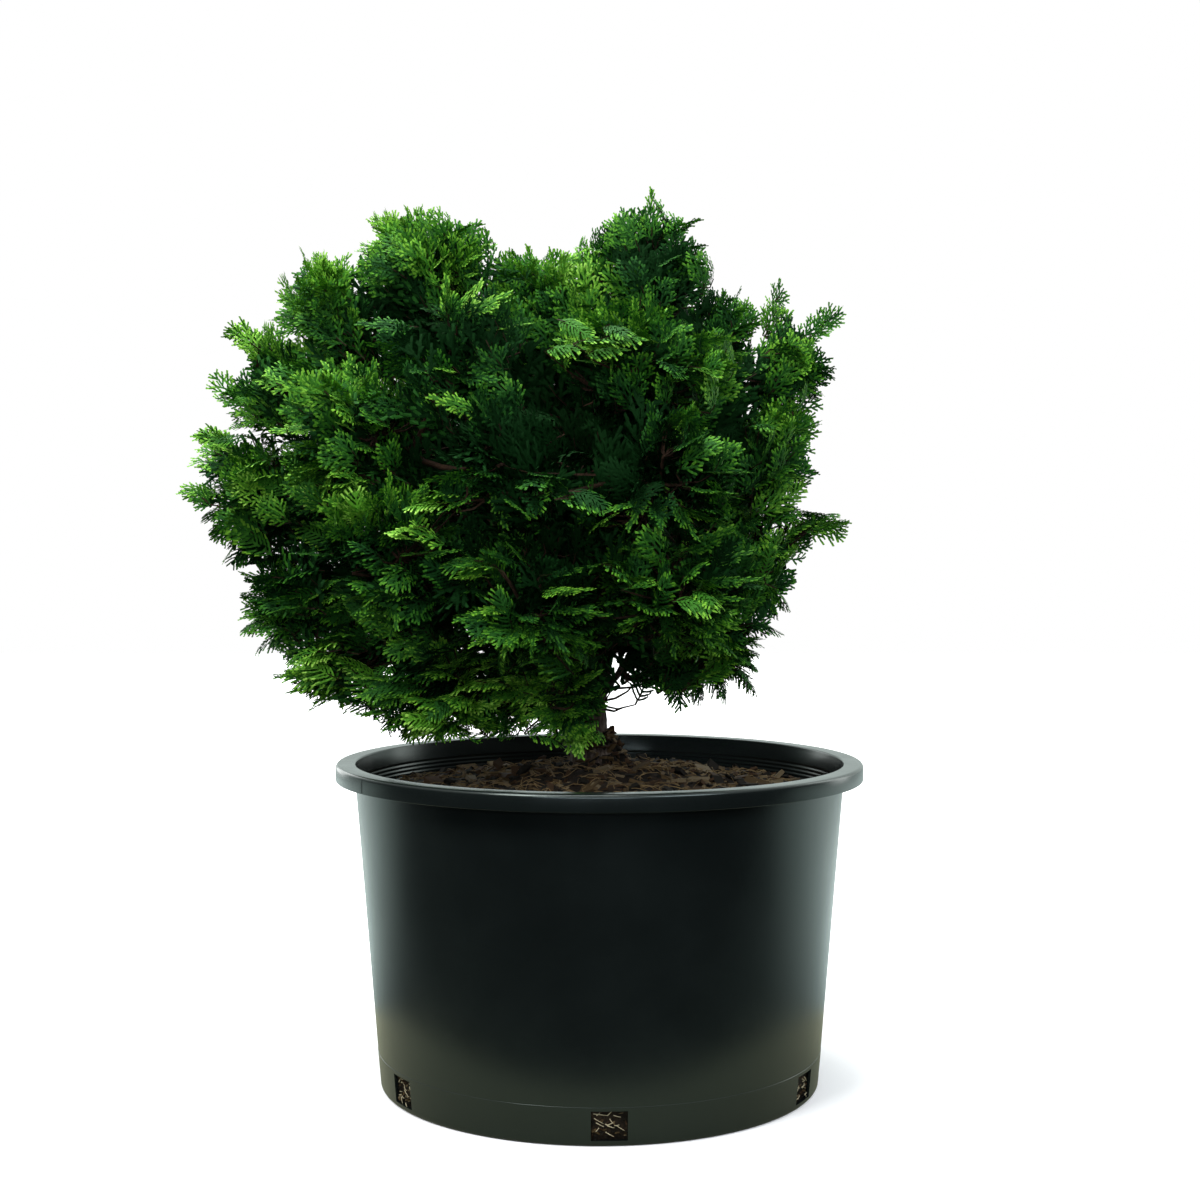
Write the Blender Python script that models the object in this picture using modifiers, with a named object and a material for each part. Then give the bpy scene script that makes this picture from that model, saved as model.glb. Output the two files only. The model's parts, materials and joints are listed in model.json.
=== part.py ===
"""Dwarf hinoki cypress growing in a round black nursery pot.

Metres, +Z up. The origin is the centre of the pot's flat underside, and the plant's front faces -Y.
The crown is a set of uneven foliage masses that meet along flat faces with a thin gap between them,
carried on a leaning trunk and its main boughs.
"""

import math

import bmesh
import bpy
from mathutils import Vector, noise

OBJECT_NAME = "potted_hinoki_cypress"

# Gaps between pieces that touch
FIT_GAP = 0.0003
MASS_GAP = 0.0008

# Pot
POT_HEIGHT = 0.2615
RIM_OUTER_RADIUS = 0.216
RIM_INNER_RADIUS = 0.2005
RIM_BAND_HEIGHT = 0.0132
RIM_BAND_WALL = 0.0024
RIM_EDGE_ROUND = 0.0028
WALL_TOP_RADIUS = 0.2002
FOOT_RADIUS = 0.1792
FOOT_ROUND = 0.004
WALL_THICKNESS = 0.0022
FLOOR_THICKNESS = 0.003
POT_STEPS = 40

# Drain holes round the foot
HOLE_COUNT = 6
HOLE_WIDTH = 0.027
HOLE_HEIGHT = 0.022
HOLE_BOTTOM = 0.0045
HOLE_TURN_DEG = 2.3

# Potting mix
MIX_EDGE_HEIGHT = 0.2345
MIX_MOUND_HEIGHT = 0.2565
MIX_MOUND_FLAT = 0.053
MIX_ROUGHNESS = 0.0035
MIX_RINGS = 4
MIX_STEPS = POT_STEPS

# Trunk: centre line and radius from the potting mix up to the tip of the leader
TRUNK_LINE = (
    (-0.009, 0.000, MIX_MOUND_HEIGHT + FIT_GAP, 0.0178),
    (-0.009, 0.000, 0.2630, 0.0158),
    (-0.0094, 0.000, 0.2710, 0.0143),
    (-0.0094, 0.000, 0.2820, 0.0134),
    (-0.008, -0.002, 0.3080, 0.0126),
    (0.001, 0.001, 0.3600, 0.0116),
    (0.011, 0.004, 0.4300, 0.0101),
    (0.020, 0.003, 0.5000, 0.0085),
    (0.028, 0.000, 0.5700, 0.0066),
    (0.037, -0.002, 0.6300, 0.0046),
    (0.045, 0.000, 0.6850, 0.0024),
)
KNEE_REACH = 0.020
KNEE_HEIGHT = 0.030
FLUTE_DEPTH = 0.0022
FLUTE_COUNT = 5

# Foliage masses: centre, half sizes, and the far tips that stand out of the crown's outline
MASSES = {
    "summit_left": (
        (-0.144, -0.010, 0.664),
        (0.060, 0.078, 0.046),
        ((-0.156, -0.02, 0.716), (-0.184, -0.01, 0.706)),
    ),
    "shoulder_left": ((-0.222, -0.005, 0.628), (0.050, 0.074, 0.044), ((-0.246, -0.01, 0.684),)),
    "wing_left_high": (
        (-0.266, 0.000, 0.570),
        (0.048, 0.076, 0.044),
        ((-0.302, 0.0, 0.618), (-0.326, 0.01, 0.586)),
    ),
    "wing_left_mid": (
        (-0.270, 0.000, 0.486),
        (0.060, 0.080, 0.050),
        ((-0.340, 0.01, 0.536), (-0.346, -0.01, 0.484), (-0.312, 0.0, 0.425)),
    ),
    "wing_left_low": ((-0.246, 0.004, 0.396), (0.052, 0.078, 0.042), ((-0.298, 0.0, 0.380),)),
    "skirt_left": ((-0.214, 0.008, 0.348), (0.058, 0.074, 0.040), ((-0.241, 0.0, 0.303),)),
    "saddle": ((-0.054, -0.005, 0.630), (0.056, 0.076, 0.051), ()),
    "summit_right": (
        (0.040, 0.005, 0.666),
        (0.053, 0.074, 0.054),
        ((0.047, 0.0, 0.733), (0.000, 0.0, 0.711), (-0.026, 0.0, 0.688)),
    ),
    "shoulder_right": ((0.092, 0.005, 0.604), (0.040, 0.076, 0.050), ((0.118, 0.0, 0.650),)),
    "horn_right": (
        (0.158, 0.000, 0.588),
        (0.030, 0.054, 0.040),
        ((0.145, 0.0, 0.654), (0.201, 0.0, 0.644), (0.193, 0.0, 0.580)),
    ),
    "wing_right_mid": ((0.136, 0.004, 0.520), (0.050, 0.078, 0.050), ((0.189, 0.0, 0.518),)),
    "wing_right_low": ((0.120, 0.004, 0.432), (0.050, 0.078, 0.054), ((0.207, 0.0, 0.461),)),
    "skirt_right": ((0.080, 0.005, 0.362), (0.064, 0.070, 0.044), ((0.074, -0.02, 0.309),)),
    "skirt_front": (
        (-0.124, -0.070, 0.322),
        (0.068, 0.062, 0.038),
        ((-0.186, -0.07, 0.296), (-0.095, -0.085, 0.283)),
    ),
    "skirt_trunk": ((-0.034, -0.072, 0.320), (0.038, 0.034, 0.044), ((-0.018, -0.078, 0.270),)),
    "front_high_left": ((-0.113, -0.125, 0.586), (0.066, 0.064, 0.054), ()),
    "front_left": ((-0.187, -0.120, 0.527), (0.062, 0.064, 0.060), ((-0.205, -0.185, 0.560),)),
    "front_centre": ((-0.072, -0.180, 0.503), (0.066, 0.054, 0.060), ()),
    "front_high_right": ((0.030, -0.125, 0.575), (0.074, 0.066, 0.052), ()),
    "front_right": ((0.040, -0.178, 0.491), (0.074, 0.056, 0.054), ()),
    "front_low_left": ((-0.151, -0.145, 0.433), (0.070, 0.066, 0.056), ()),
    "front_low_centre": ((-0.050, -0.168, 0.406), (0.066, 0.060, 0.056), ()),
    "front_low_right": ((0.052, -0.148, 0.412), (0.070, 0.064, 0.053), ()),
    "back_high_left": ((-0.118, 0.112, 0.606), (0.080, 0.078, 0.060), ()),
    "back_high_right": ((0.046, 0.116, 0.608), (0.078, 0.076, 0.060), ((0.060, 0.150, 0.670),)),
    "back_left": ((-0.196, 0.124, 0.514), (0.072, 0.076, 0.064), ()),
    "back_centre": ((-0.060, 0.174, 0.516), (0.080, 0.064, 0.068), ()),
    "back_right": ((0.086, 0.138, 0.504), (0.076, 0.074, 0.064), ()),
    "back_low_left": ((-0.168, 0.124, 0.410), (0.078, 0.076, 0.060), ((-0.206, 0.160, 0.345),)),
    "back_low_centre": ((-0.044, 0.160, 0.398), (0.074, 0.068, 0.058), ((-0.030, 0.190, 0.326),)),
    "back_low_right": ((0.070, 0.120, 0.404), (0.072, 0.074, 0.060), ((0.084, 0.146, 0.335),)),
}
MASS_FACETS = 4
UNEVENNESS = 0.19
UNEVEN_SCALE = 21.0

# Boughs: height of the fork on the trunk, mass reached, base radius, tip radius and upward bow
BOUGHS = {
    "bough_summit_left": (0.425, "summit_left", 0.0074, 0.0034, -0.022),
    "bough_saddle": (0.470, "saddle", 0.0056, 0.0028, -0.014),
    "bough_shoulder_left": (0.380, "shoulder_left", 0.0066, 0.0030, -0.026),
    "bough_left_mid": (0.337, "wing_left_mid", 0.0070, 0.0028, -0.020),
    "bough_left_low": (0.308, "wing_left_low", 0.0056, 0.0026, -0.012),
    "bough_shoulder_right": (0.500, "shoulder_right", 0.0048, 0.0024, -0.012),
    "bough_right_mid": (0.420, "wing_right_mid", 0.0058, 0.0026, -0.016),
    "bough_right_low": (0.345, "wing_right_low", 0.0056, 0.0026, -0.014),
    "bough_skirt_right": (0.300, "skirt_right", 0.0044, 0.0022, 0.006),
    "bough_front_high": (0.455, "front_high_right", 0.0050, 0.0024, -0.016),
    "bough_front_left": (0.402, "front_left", 0.0060, 0.0026, -0.022),
    "bough_front_right": (0.372, "front_right", 0.0056, 0.0026, -0.018),
    "bough_front_low": (0.322, "front_low_left", 0.0050, 0.0024, -0.010),
    "bough_skirt_front": (0.291, "skirt_front", 0.0042, 0.0022, 0.008),
    "bough_back_left": (0.353, "back_left", 0.0060, 0.0026, -0.022),
    "bough_back_high": (0.440, "back_high_right", 0.0052, 0.0024, -0.016),
    "bough_back_right": (0.364, "back_right", 0.0056, 0.0026, -0.018),
    "bough_back_low": (0.300, "back_low_centre", 0.0048, 0.0024, -0.006),
}
BOUGH_SEGMENTS = 3
BOUGH_ENTRY = 0.012

# Finishes: base colour, roughness, metallic
BLACK_PLASTIC = ((0.012, 0.016, 0.015), 0.42, 0.0)
POTTING_MIX = ((0.055, 0.032, 0.020), 0.95, 0.0)
TRUNK_BARK = ((0.110, 0.070, 0.048), 0.90, 0.0)
BOUGH_BARK = ((0.130, 0.068, 0.040), 0.85, 0.0)
FOLIAGE_LIGHT = (0.120, 0.260, 0.040)
FOLIAGE_DARK = (0.030, 0.105, 0.035)
FOLIAGE_ROUGHNESS = 0.62


def clear_scene():
    """Remove every object the scene starts with."""
    for obj in list(bpy.data.objects):
        bpy.data.objects.remove(obj, do_unlink=True)


def new_collection(name):
    """Return a new collection of this name linked to the scene."""
    made = bpy.data.collections.new(name)
    bpy.context.scene.collection.children.link(made)
    return made


def finish(obj, colour, roughness, metallic):
    """Give the object a Principled material of its own."""
    material = bpy.data.materials.new(obj.name + "_finish")
    material.use_nodes = True
    shader = material.node_tree.nodes["Principled BSDF"]
    shader.inputs["Base Color"].default_value = (*colour, 1.0)
    shader.inputs["Roughness"].default_value = roughness
    shader.inputs["Metallic"].default_value = metallic
    obj.data.materials.clear()
    obj.data.materials.append(material)


def object_of(name, mesh, collection):
    """Wrap the mesh in an object of this name in the collection."""
    obj = bpy.data.objects.new(name, mesh)
    collection.objects.link(obj)
    return obj


def turned(name, profile, steps, collection):
    """Return a mesh object made by turning the (radius, height) profile round the Z axis."""
    outline = bpy.data.meshes.new(name + "_profile")
    edges = [(i, i + 1) for i in range(len(profile) - 1)]
    outline.from_pydata([(r, 0.0, z) for r, z in profile], edges, [])
    source = object_of(name + "_profile", outline, collection)
    screw = source.modifiers.new("Turn", "SCREW")
    screw.steps = steps
    screw.render_steps = steps
    screw.use_merge_vertices = True
    screw.merge_threshold = 0.0001
    mesh = evaluated_mesh(source, name)
    bpy.data.objects.remove(source, do_unlink=True)
    return object_of(name, mesh, collection)


def evaluated_mesh(source, name):
    """Return a new mesh of the source object with its modifiers applied."""
    graph = bpy.context.evaluated_depsgraph_get()
    graph.update()
    mesh = bpy.data.meshes.new_from_object(source.evaluated_get(graph))
    mesh.name = name
    return mesh


def weld(mesh, distance):
    """Merge the mesh's points that lie within the distance and turn its faces outward."""
    work = bmesh.new()
    work.from_mesh(mesh)
    bmesh.ops.remove_doubles(work, verts=work.verts, dist=distance)
    bmesh.ops.recalc_face_normals(work, faces=work.faces)
    work.to_mesh(mesh)
    work.free()


def subtract(obj, cutter, label):
    """Cut the cutter from the object with an exact Boolean."""
    cut = obj.modifiers.new(label, "BOOLEAN")
    cut.operation = "DIFFERENCE"
    cut.solver = "EXACT"
    cut.object = cutter


def hide_cutter(obj):
    """Keep a cutter out of renders and show it as wire."""
    obj.hide_render = True
    obj.display_type = "WIRE"


def wall_radius(height):
    """Return the outer radius of the pot's tapering wall at this height."""
    share = height / (POT_HEIGHT - RIM_BAND_HEIGHT)
    return FOOT_RADIUS + (WALL_TOP_RADIUS - FOOT_RADIUS) * share


def pot_profile():
    """Return the pot's section: inside floor, inner wall, rim, band with its hollow, outer wall, foot."""
    floor_radius = wall_radius(FLOOR_THICKNESS + 0.004) - WALL_THICKNESS
    band_bottom = POT_HEIGHT - RIM_BAND_HEIGHT
    neck = wall_radius(band_bottom) - WALL_THICKNESS
    return (
        (0.0, FLOOR_THICKNESS),
        (floor_radius - 0.004, FLOOR_THICKNESS),
        (floor_radius, FLOOR_THICKNESS + 0.004),
        (neck, band_bottom),
        (RIM_INNER_RADIUS - 0.0006, POT_HEIGHT - 0.0016),
        (RIM_INNER_RADIUS + 0.0010, POT_HEIGHT),
        (RIM_OUTER_RADIUS - RIM_EDGE_ROUND, POT_HEIGHT),
        (RIM_OUTER_RADIUS - 0.0008, POT_HEIGHT - 0.0010),
        (RIM_OUTER_RADIUS, POT_HEIGHT - RIM_EDGE_ROUND),
        (RIM_OUTER_RADIUS, band_bottom),
        (RIM_OUTER_RADIUS - RIM_BAND_WALL, band_bottom),
        (RIM_OUTER_RADIUS - RIM_BAND_WALL, POT_HEIGHT - RIM_BAND_WALL),
        (wall_radius(band_bottom) + 0.0006, POT_HEIGHT - RIM_BAND_WALL),
        (wall_radius(band_bottom), band_bottom),
        (wall_radius(FOOT_ROUND), FOOT_ROUND),
        (FOOT_RADIUS - 0.0015, 0.0),
        (0.0, 0.0),
    )


def build_pot(collection, helpers):
    """Build the pot with its rim and the drain holes cut round the foot."""
    pot = turned("pot", pot_profile(), POT_STEPS, collection)
    weld(pot.data, 1e-5)
    for i in range(HOLE_COUNT):
        turn = math.radians(-90.0 + HOLE_TURN_DEG + 360.0 * i / HOLE_COUNT)
        bpy.ops.mesh.primitive_cube_add(size=1.0)
        cutter = bpy.context.active_object
        cutter.name = f"drain_hole_cutter_{i}"
        for owner in list(cutter.users_collection):
            owner.objects.unlink(cutter)
        helpers.objects.link(cutter)
        cutter.dimensions = (0.020, HOLE_WIDTH, HOLE_HEIGHT)
        cutter.rotation_euler = (0.0, 0.0, turn)
        cutter.location = (
            FOOT_RADIUS * math.cos(turn),
            FOOT_RADIUS * math.sin(turn),
            HOLE_BOTTOM + HOLE_HEIGHT / 2,
        )
        hide_cutter(cutter)
        subtract(pot, cutter, f"Drain hole {i}")
    finish(pot, *BLACK_PLASTIC)
    return pot


def mix_profile():
    """Return the potting mix's section from the mound's centre out to the wall and down to the floor."""
    edge = wall_radius(MIX_EDGE_HEIGHT) - WALL_THICKNESS - FIT_GAP - 0.0003
    foot = wall_radius(FLOOR_THICKNESS) - WALL_THICKNESS - FIT_GAP - 0.0044
    rings = []
    for i in range(MIX_RINGS + 1):
        share = i / MIX_RINGS
        height = MIX_EDGE_HEIGHT + (MIX_MOUND_HEIGHT - MIX_EDGE_HEIGHT) * (1.0 - share) ** 1.7
        rings.append((MIX_MOUND_FLAT + (edge - MIX_MOUND_FLAT) * share, height))
    low = FLOOR_THICKNESS + FIT_GAP
    shoulder = wall_radius(low + 0.006) - WALL_THICKNESS - FIT_GAP - 0.0003
    return ((0.0, MIX_MOUND_HEIGHT), *rings, (shoulder, low + 0.006), (foot, low), (0.0, low))


def build_mix(collection):
    """Build the potting mix, mounded up to the trunk and uneven over its top."""
    mix = turned("potting_mix", mix_profile(), MIX_STEPS, collection)
    weld(mix.data, 1e-5)
    edge = wall_radius(MIX_EDGE_HEIGHT) - 0.006
    for vertex in mix.data.vertices:
        radius = math.hypot(vertex.co.x, vertex.co.y)
        if vertex.co.z < MIX_EDGE_HEIGHT - 0.001 or not MIX_MOUND_FLAT + 0.002 < radius < edge:
            continue
        vertex.co.z += MIX_ROUGHNESS * noise.noise(vertex.co * 43.0)
    finish(mix, *POTTING_MIX)
    return mix


def limb(name, line, extra, resolution, collection):
    """Return a capped tapering tube along (x, y, z, radius) points, fattened by the extra radius."""
    curve = bpy.data.curves.new(name + "_line", "CURVE")
    curve.dimensions = "3D"
    curve.bevel_depth = 1.0
    curve.bevel_resolution = resolution
    curve.use_fill_caps = True
    spline = curve.splines.new("POLY")
    spline.points.add(len(line) - 1)
    for point, (x, y, z, radius) in zip(spline.points, line):
        point.co = (x, y, z, 1.0)
        point.radius = radius + extra
    source = object_of(name + "_line", curve, collection)
    mesh = evaluated_mesh(source, name)
    bpy.data.objects.remove(source, do_unlink=True)
    weld(mesh, 1e-5)
    return object_of(name, mesh, collection)


def trunk_at(height):
    """Return the trunk's centre and radius at this height."""
    for low, high in zip(TRUNK_LINE, TRUNK_LINE[1:]):
        if height <= high[2]:
            share = max(0.0, (height - low[2]) / (high[2] - low[2]))
            mixed = [a + (b - a) * share for a, b in zip(low, high)]
            return Vector(mixed[:3]), mixed[3]
    return Vector(TRUNK_LINE[-1][:3]), TRUNK_LINE[-1][3]


def flare(obj, extra):
    """Flute the trunk and swell its foot into the root flare, with a knee on the +X side."""
    for vertex in obj.data.vertices:
        centre, _ = trunk_at(vertex.co.z)
        out = Vector((vertex.co.x - centre.x, vertex.co.y - centre.y, 0.0))
        if out.length < 1e-5:
            continue
        angle = math.atan2(out.y, out.x)
        rise = max(0.0, vertex.co.z - MIX_MOUND_HEIGHT)
        fade = max(0.0, 1.0 - rise / KNEE_HEIGHT)
        swell = FLUTE_DEPTH * math.sin(FLUTE_COUNT * angle + 0.7) * max(0.25, fade)
        swell += KNEE_REACH * max(0.0, math.cos(angle + 0.25)) ** 4 * fade
        vertex.co += out.normalized() * swell * min(1.0, out.length / 0.009)
    if extra:
        for vertex in obj.data.vertices:
            vertex.co.z -= extra if vertex.co.z < MIX_MOUND_HEIGHT + 0.001 else -extra * 0.01


def build_trunk(collection):
    """Build the trunk from its root flare to the tip of the leader."""
    trunk = limb("trunk", TRUNK_LINE, 0.0, 3, collection)
    flare(trunk, 0.0)
    finish(trunk, *TRUNK_BARK)
    return trunk


def trunk_cutter(helpers):
    """Build the trunk's shape grown by the fit gap, which clears the pieces beside it."""
    cutter = limb("trunk_cutter", TRUNK_LINE, FIT_GAP, 3, helpers)
    flare(cutter, FIT_GAP)
    hide_cutter(cutter)
    return cutter


def reach(mass, direction):
    """Return how far the mass's ellipsoid reaches from its centre in a unit direction."""
    _, half, _ = MASSES[mass]
    return 1.0 / math.sqrt(sum((d / h) ** 2 for d, h in zip(direction, half)))


def bough_line(name, beyond):
    """Return a bough's (x, y, z, radius) points, ending just inside the mass that it carries."""
    height, mass, base_radius, tip_radius, bow = BOUGHS[name]
    start, _ = trunk_at(height)
    centre = Vector(MASSES[mass][0])
    toward = (start + Vector((0.0, 0.0, 0.04)) - centre).normalized()
    end = centre + toward * (reach(mass, toward) - BOUGH_ENTRY - beyond)
    middle = (start + end) / 2 + Vector((0.0, 0.0, bow))
    line = []
    for i in range(BOUGH_SEGMENTS + 1):
        t = i / BOUGH_SEGMENTS
        point = start * (1 - t) ** 2 + middle * 2 * t * (1 - t) + end * t**2
        radius = base_radius + (tip_radius - base_radius) * t
        line.append((*point, radius))
    return line


def build_boughs(collection, helpers, clear_of_trunk):
    """Build each main bough from the trunk's bark to its mass, and the cutter that clears it.

    Returns:
        The boughs' cutters, each with the line of its bough.
    """
    cutters = {}
    for name in BOUGHS:
        bough = limb(name, bough_line(name, 0.0), 0.0, 1, collection)
        subtract(bough, clear_of_trunk, "Clear of the trunk")
        finish(bough, *BOUGH_BARK)
        line = bough_line(name, FIT_GAP)
        cutter = limb(name + "_cutter", line, FIT_GAP, 1, helpers)
        hide_cutter(cutter)
        cutters[name] = (cutter, line)
    return cutters


def ball_points(facets):
    """Return a bmesh ball made from a cube with each face cut into facets by facets squares."""
    work = bmesh.new()
    bmesh.ops.create_cube(work, size=2.0)
    bmesh.ops.subdivide_edges(work, edges=work.edges, cuts=facets - 1, use_grid_fill=True)
    for vertex in work.verts:
        spread = Vector(math.tan(0.7854 * c) for c in vertex.co)
        vertex.co = spread.normalized()
    bmesh.ops.triangulate(work, faces=work.faces)
    return work


def neighbours(mass):
    """Return the planes (point, outward normal) that part this mass from those around it."""
    centre = Vector(MASSES[mass][0])
    planes = []
    for other in MASSES:
        if other == mass:
            continue
        away = Vector(MASSES[other][0]) - centre
        distance = away.length
        normal = away / distance
        near = reach(mass, normal)
        far = reach(other, normal)
        if distance > 1.8 * (near + far):
            continue
        place = distance * near / (near + far) - MASS_GAP / 2
        planes.append((centre + normal * place, normal))
    return planes


def build_mass(name, index, collection, limbs):
    """Build one foliage mass: uneven, drawn out to its tips, flat where it meets another mass."""
    centre = Vector(MASSES[name][0])
    half = MASSES[name][1]
    work = ball_points(MASS_FACETS)
    work.verts.ensure_lookup_table()
    directions = [vertex.co.copy() for vertex in work.verts]
    places = []
    for direction in directions:
        shape = Vector(d * h for d, h in zip(direction, half))
        lump = noise.noise((centre + shape) * UNEVEN_SCALE + Vector((index * 3.1, 0.0, 0.0)))
        ripple = noise.noise((centre + shape) * UNEVEN_SCALE * 2.3)
        places.append(shape * (1.0 + UNEVENNESS * (1.3 * lump + 0.8 * ripple)))
    taken = set()
    for tip in MASSES[name][2]:
        offset = Vector(tip) - centre
        aim = offset.normalized()
        order = sorted(range(len(places)), key=lambda i: -places[i].normalized().dot(aim))
        nearest = next(i for i in order if i not in taken)
        taken.add(nearest)
        places[nearest] = offset
    planes = neighbours(name)
    for vertex, place in zip(work.verts, places):
        share = 1.0
        for point, normal in planes:
            outward = place.dot(normal)
            limit = (point - centre).dot(normal)
            if outward > limit:
                share = min(share, limit / outward)
        vertex.co = centre + place * share
    mesh = bpy.data.meshes.new(name)
    work.to_mesh(mesh)
    work.free()
    mass = object_of(name, mesh, collection)
    for cutter, line in limbs:
        if passes(line, name):
            subtract(mass, cutter, "Clear of " + cutter.name.removesuffix("_cutter"))
    light = 0.5 + 0.5 * math.sin(index * 1.9) if centre.z > 0.45 else 0.25
    colour = [d + (b - d) * light for d, b in zip(FOLIAGE_DARK, FOLIAGE_LIGHT)]
    finish(mass, colour, FOLIAGE_ROUGHNESS, 0.0)
    return mass


def passes(line, mass):
    """Return whether a limb along these points comes into the mass."""
    centre = Vector(MASSES[mass][0])
    half = MASSES[mass][1]
    for low, high in zip(line, line[1:]):
        for i in range(9):
            t = i / 8
            point = Vector([a + (b - a) * t for a, b in zip(low[:3], high[:3])]) - centre
            size = math.sqrt(sum((p / (h + 0.010)) ** 2 for p, h in zip(point, half)))
            if size < 1.12:
                return True
    return False


def main():
    """Build the pot, the potting mix, the trunk, the boughs and the foliage masses."""
    clear_scene()
    collection = new_collection(OBJECT_NAME)
    helpers = new_collection("cutters")
    build_pot(collection, helpers)
    build_mix(collection)
    build_trunk(collection)
    clear_of_trunk = trunk_cutter(helpers)
    bough_cutters = build_boughs(collection, helpers, clear_of_trunk)
    limbs = [(clear_of_trunk, TRUNK_LINE), *bough_cutters.values()]
    for index, name in enumerate(MASSES):
        build_mass(name, index, collection, limbs)


if __name__ == "__main__":
    main()
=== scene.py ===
"""Looks of a dwarf hinoki cypress in a round black nursery pot.

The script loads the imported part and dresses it. Foliage masses become twigs and fan-shaped
sprays of scale leaves, the trunk and boughs get bark, the potting mix gets chips and fibres, and
the pot gets its moulded plastic.
"""

from __future__ import annotations

import json
import logging
import math
import random
from dataclasses import dataclass, field
from enum import Enum

import bmesh
import bpy
import numpy as np
from mathutils import Matrix, Quaternion, Vector, noise
from mathutils.bvhtree import BVHTree
from mathutils.kdtree import KDTree

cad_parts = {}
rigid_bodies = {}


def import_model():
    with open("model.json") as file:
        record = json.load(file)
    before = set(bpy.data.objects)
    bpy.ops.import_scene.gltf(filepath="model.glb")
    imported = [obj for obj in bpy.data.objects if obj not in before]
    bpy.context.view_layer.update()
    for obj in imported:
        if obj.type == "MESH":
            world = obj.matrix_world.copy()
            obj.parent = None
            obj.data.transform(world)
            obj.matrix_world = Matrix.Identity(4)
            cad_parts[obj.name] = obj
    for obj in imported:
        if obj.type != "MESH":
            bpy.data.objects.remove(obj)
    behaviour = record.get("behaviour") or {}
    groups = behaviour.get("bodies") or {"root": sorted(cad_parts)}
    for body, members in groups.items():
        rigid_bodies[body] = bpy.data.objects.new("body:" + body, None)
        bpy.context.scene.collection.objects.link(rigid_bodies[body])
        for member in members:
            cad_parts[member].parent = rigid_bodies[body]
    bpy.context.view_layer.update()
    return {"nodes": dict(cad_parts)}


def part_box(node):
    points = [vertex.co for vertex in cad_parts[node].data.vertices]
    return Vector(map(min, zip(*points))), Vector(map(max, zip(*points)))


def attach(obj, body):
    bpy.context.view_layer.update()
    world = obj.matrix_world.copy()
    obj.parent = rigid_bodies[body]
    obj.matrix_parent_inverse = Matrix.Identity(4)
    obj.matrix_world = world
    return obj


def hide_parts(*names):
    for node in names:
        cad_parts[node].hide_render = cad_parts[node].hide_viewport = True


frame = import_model()
LOG = logging.getLogger("hinoki")
BODY = "root"
UP = Vector((0.0, 0.0, 1.0))
# The angle of each drain hole round the pot's axis.
HOLE_TURNS = tuple(math.radians(-90.0 + 2.3 + 60.0 * i) for i in range(6))

Colour = tuple[float, float, float]
Point = tuple[float, ...]


# Mesh helpers


def link_new(name: str, mesh: bpy.types.Mesh) -> bpy.types.Object:
    """Put the mesh in the scene as an object at the origin.

    Args:
        name: The object's name.
        mesh: Its mesh.

    Returns:
        The new object.
    """
    obj = bpy.data.objects.new(name, mesh)
    bpy.context.scene.collection.objects.link(obj)
    return obj


def mesh_from(
    name: str,
    points: list[Point],
    faces: list[tuple[int, ...]],
    edges: list[tuple[int, int]] | None = None,
) -> bpy.types.Mesh:
    """Build a mesh from plain lists.

    Args:
        name: The mesh's name.
        points: Vertex positions in metres.
        faces: Vertex indices of each face.
        edges: Vertex indices of each loose edge.

    Returns:
        The new mesh.
    """
    mesh = bpy.data.meshes.new(name)
    mesh.from_pydata(points, edges or [], faces)
    mesh.update()
    return mesh


def settle(obj: bpy.types.Object) -> None:
    """Apply the object's modifiers, so that it has a plain mesh.

    Args:
        obj: A mesh object with live modifiers.
    """
    graph = bpy.context.evaluated_depsgraph_get()
    mesh = bpy.data.meshes.new_from_object(obj.evaluated_get(graph))
    old = obj.data
    obj.modifiers.clear()
    obj.data = mesh
    bpy.data.meshes.remove(old)


def clear_group(group: bpy.types.Collection) -> None:
    """Remove the collection and its objects.

    Args:
        group: The collection.
    """
    for obj in list(group.objects):
        bpy.data.objects.remove(obj, do_unlink=True)
    bpy.data.collections.remove(group)


def smooth_faces(mesh: bpy.types.Mesh, limit: float) -> None:
    """Shade the mesh smooth, keeping edges sharper than the limit in degrees crisp."""
    mesh.shade_smooth()
    mesh.set_sharp_from_angle(angle=math.radians(limit))


def clamp(value: float) -> float:
    """Return the value held between 0 and 1."""
    return max(0.0, min(1.0, value))


def drift(chance: random.Random, spread: float) -> Vector:
    """Return a random offset with this spread along each axis."""
    return Vector(chance.gauss(0.0, spread) for _ in range(3))


def around(radius: float, turn: float) -> tuple[float, float]:
    """Return the place at this distance and angle from the pot's axis."""
    return radius * math.cos(turn), radius * math.sin(turn)


def turn_to(forward: Vector, face: Vector) -> Quaternion:
    """Turn +Y to lie along forward, with +Z as near as it can be to face.

    Args:
        forward: Where +Y goes.
        face: Where +Z goes, as nearly as it can.

    Returns:
        The turn.
    """
    y = forward.normalized()
    z = face - y * face.dot(y)
    if z.length < 1e-6:
        z = y.orthogonal()
    z.normalize()
    x = y.cross(z)
    return Matrix(((x.x, y.x, z.x), (x.y, y.y, z.y), (x.z, y.z, z.z))).to_quaternion()


def put_values(mesh: bpy.types.Mesh, name: str, kind: str, values: list) -> None:
    """Store one value for each point under this attribute name.

    Args:
        mesh: The mesh of points.
        name: The attribute's name.
        kind: Its type, such as FLOAT, INT, FLOAT_VECTOR or QUATERNION.
        values: The value of each point.
    """
    made = mesh.attributes.new(name=name, type=kind, domain="POINT")
    flat = np.asarray(values, dtype=np.int32 if kind == "INT" else np.float32).ravel()
    made.data.foreach_set("vector" if kind == "FLOAT_VECTOR" else "value", flat)


# Finishes


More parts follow.
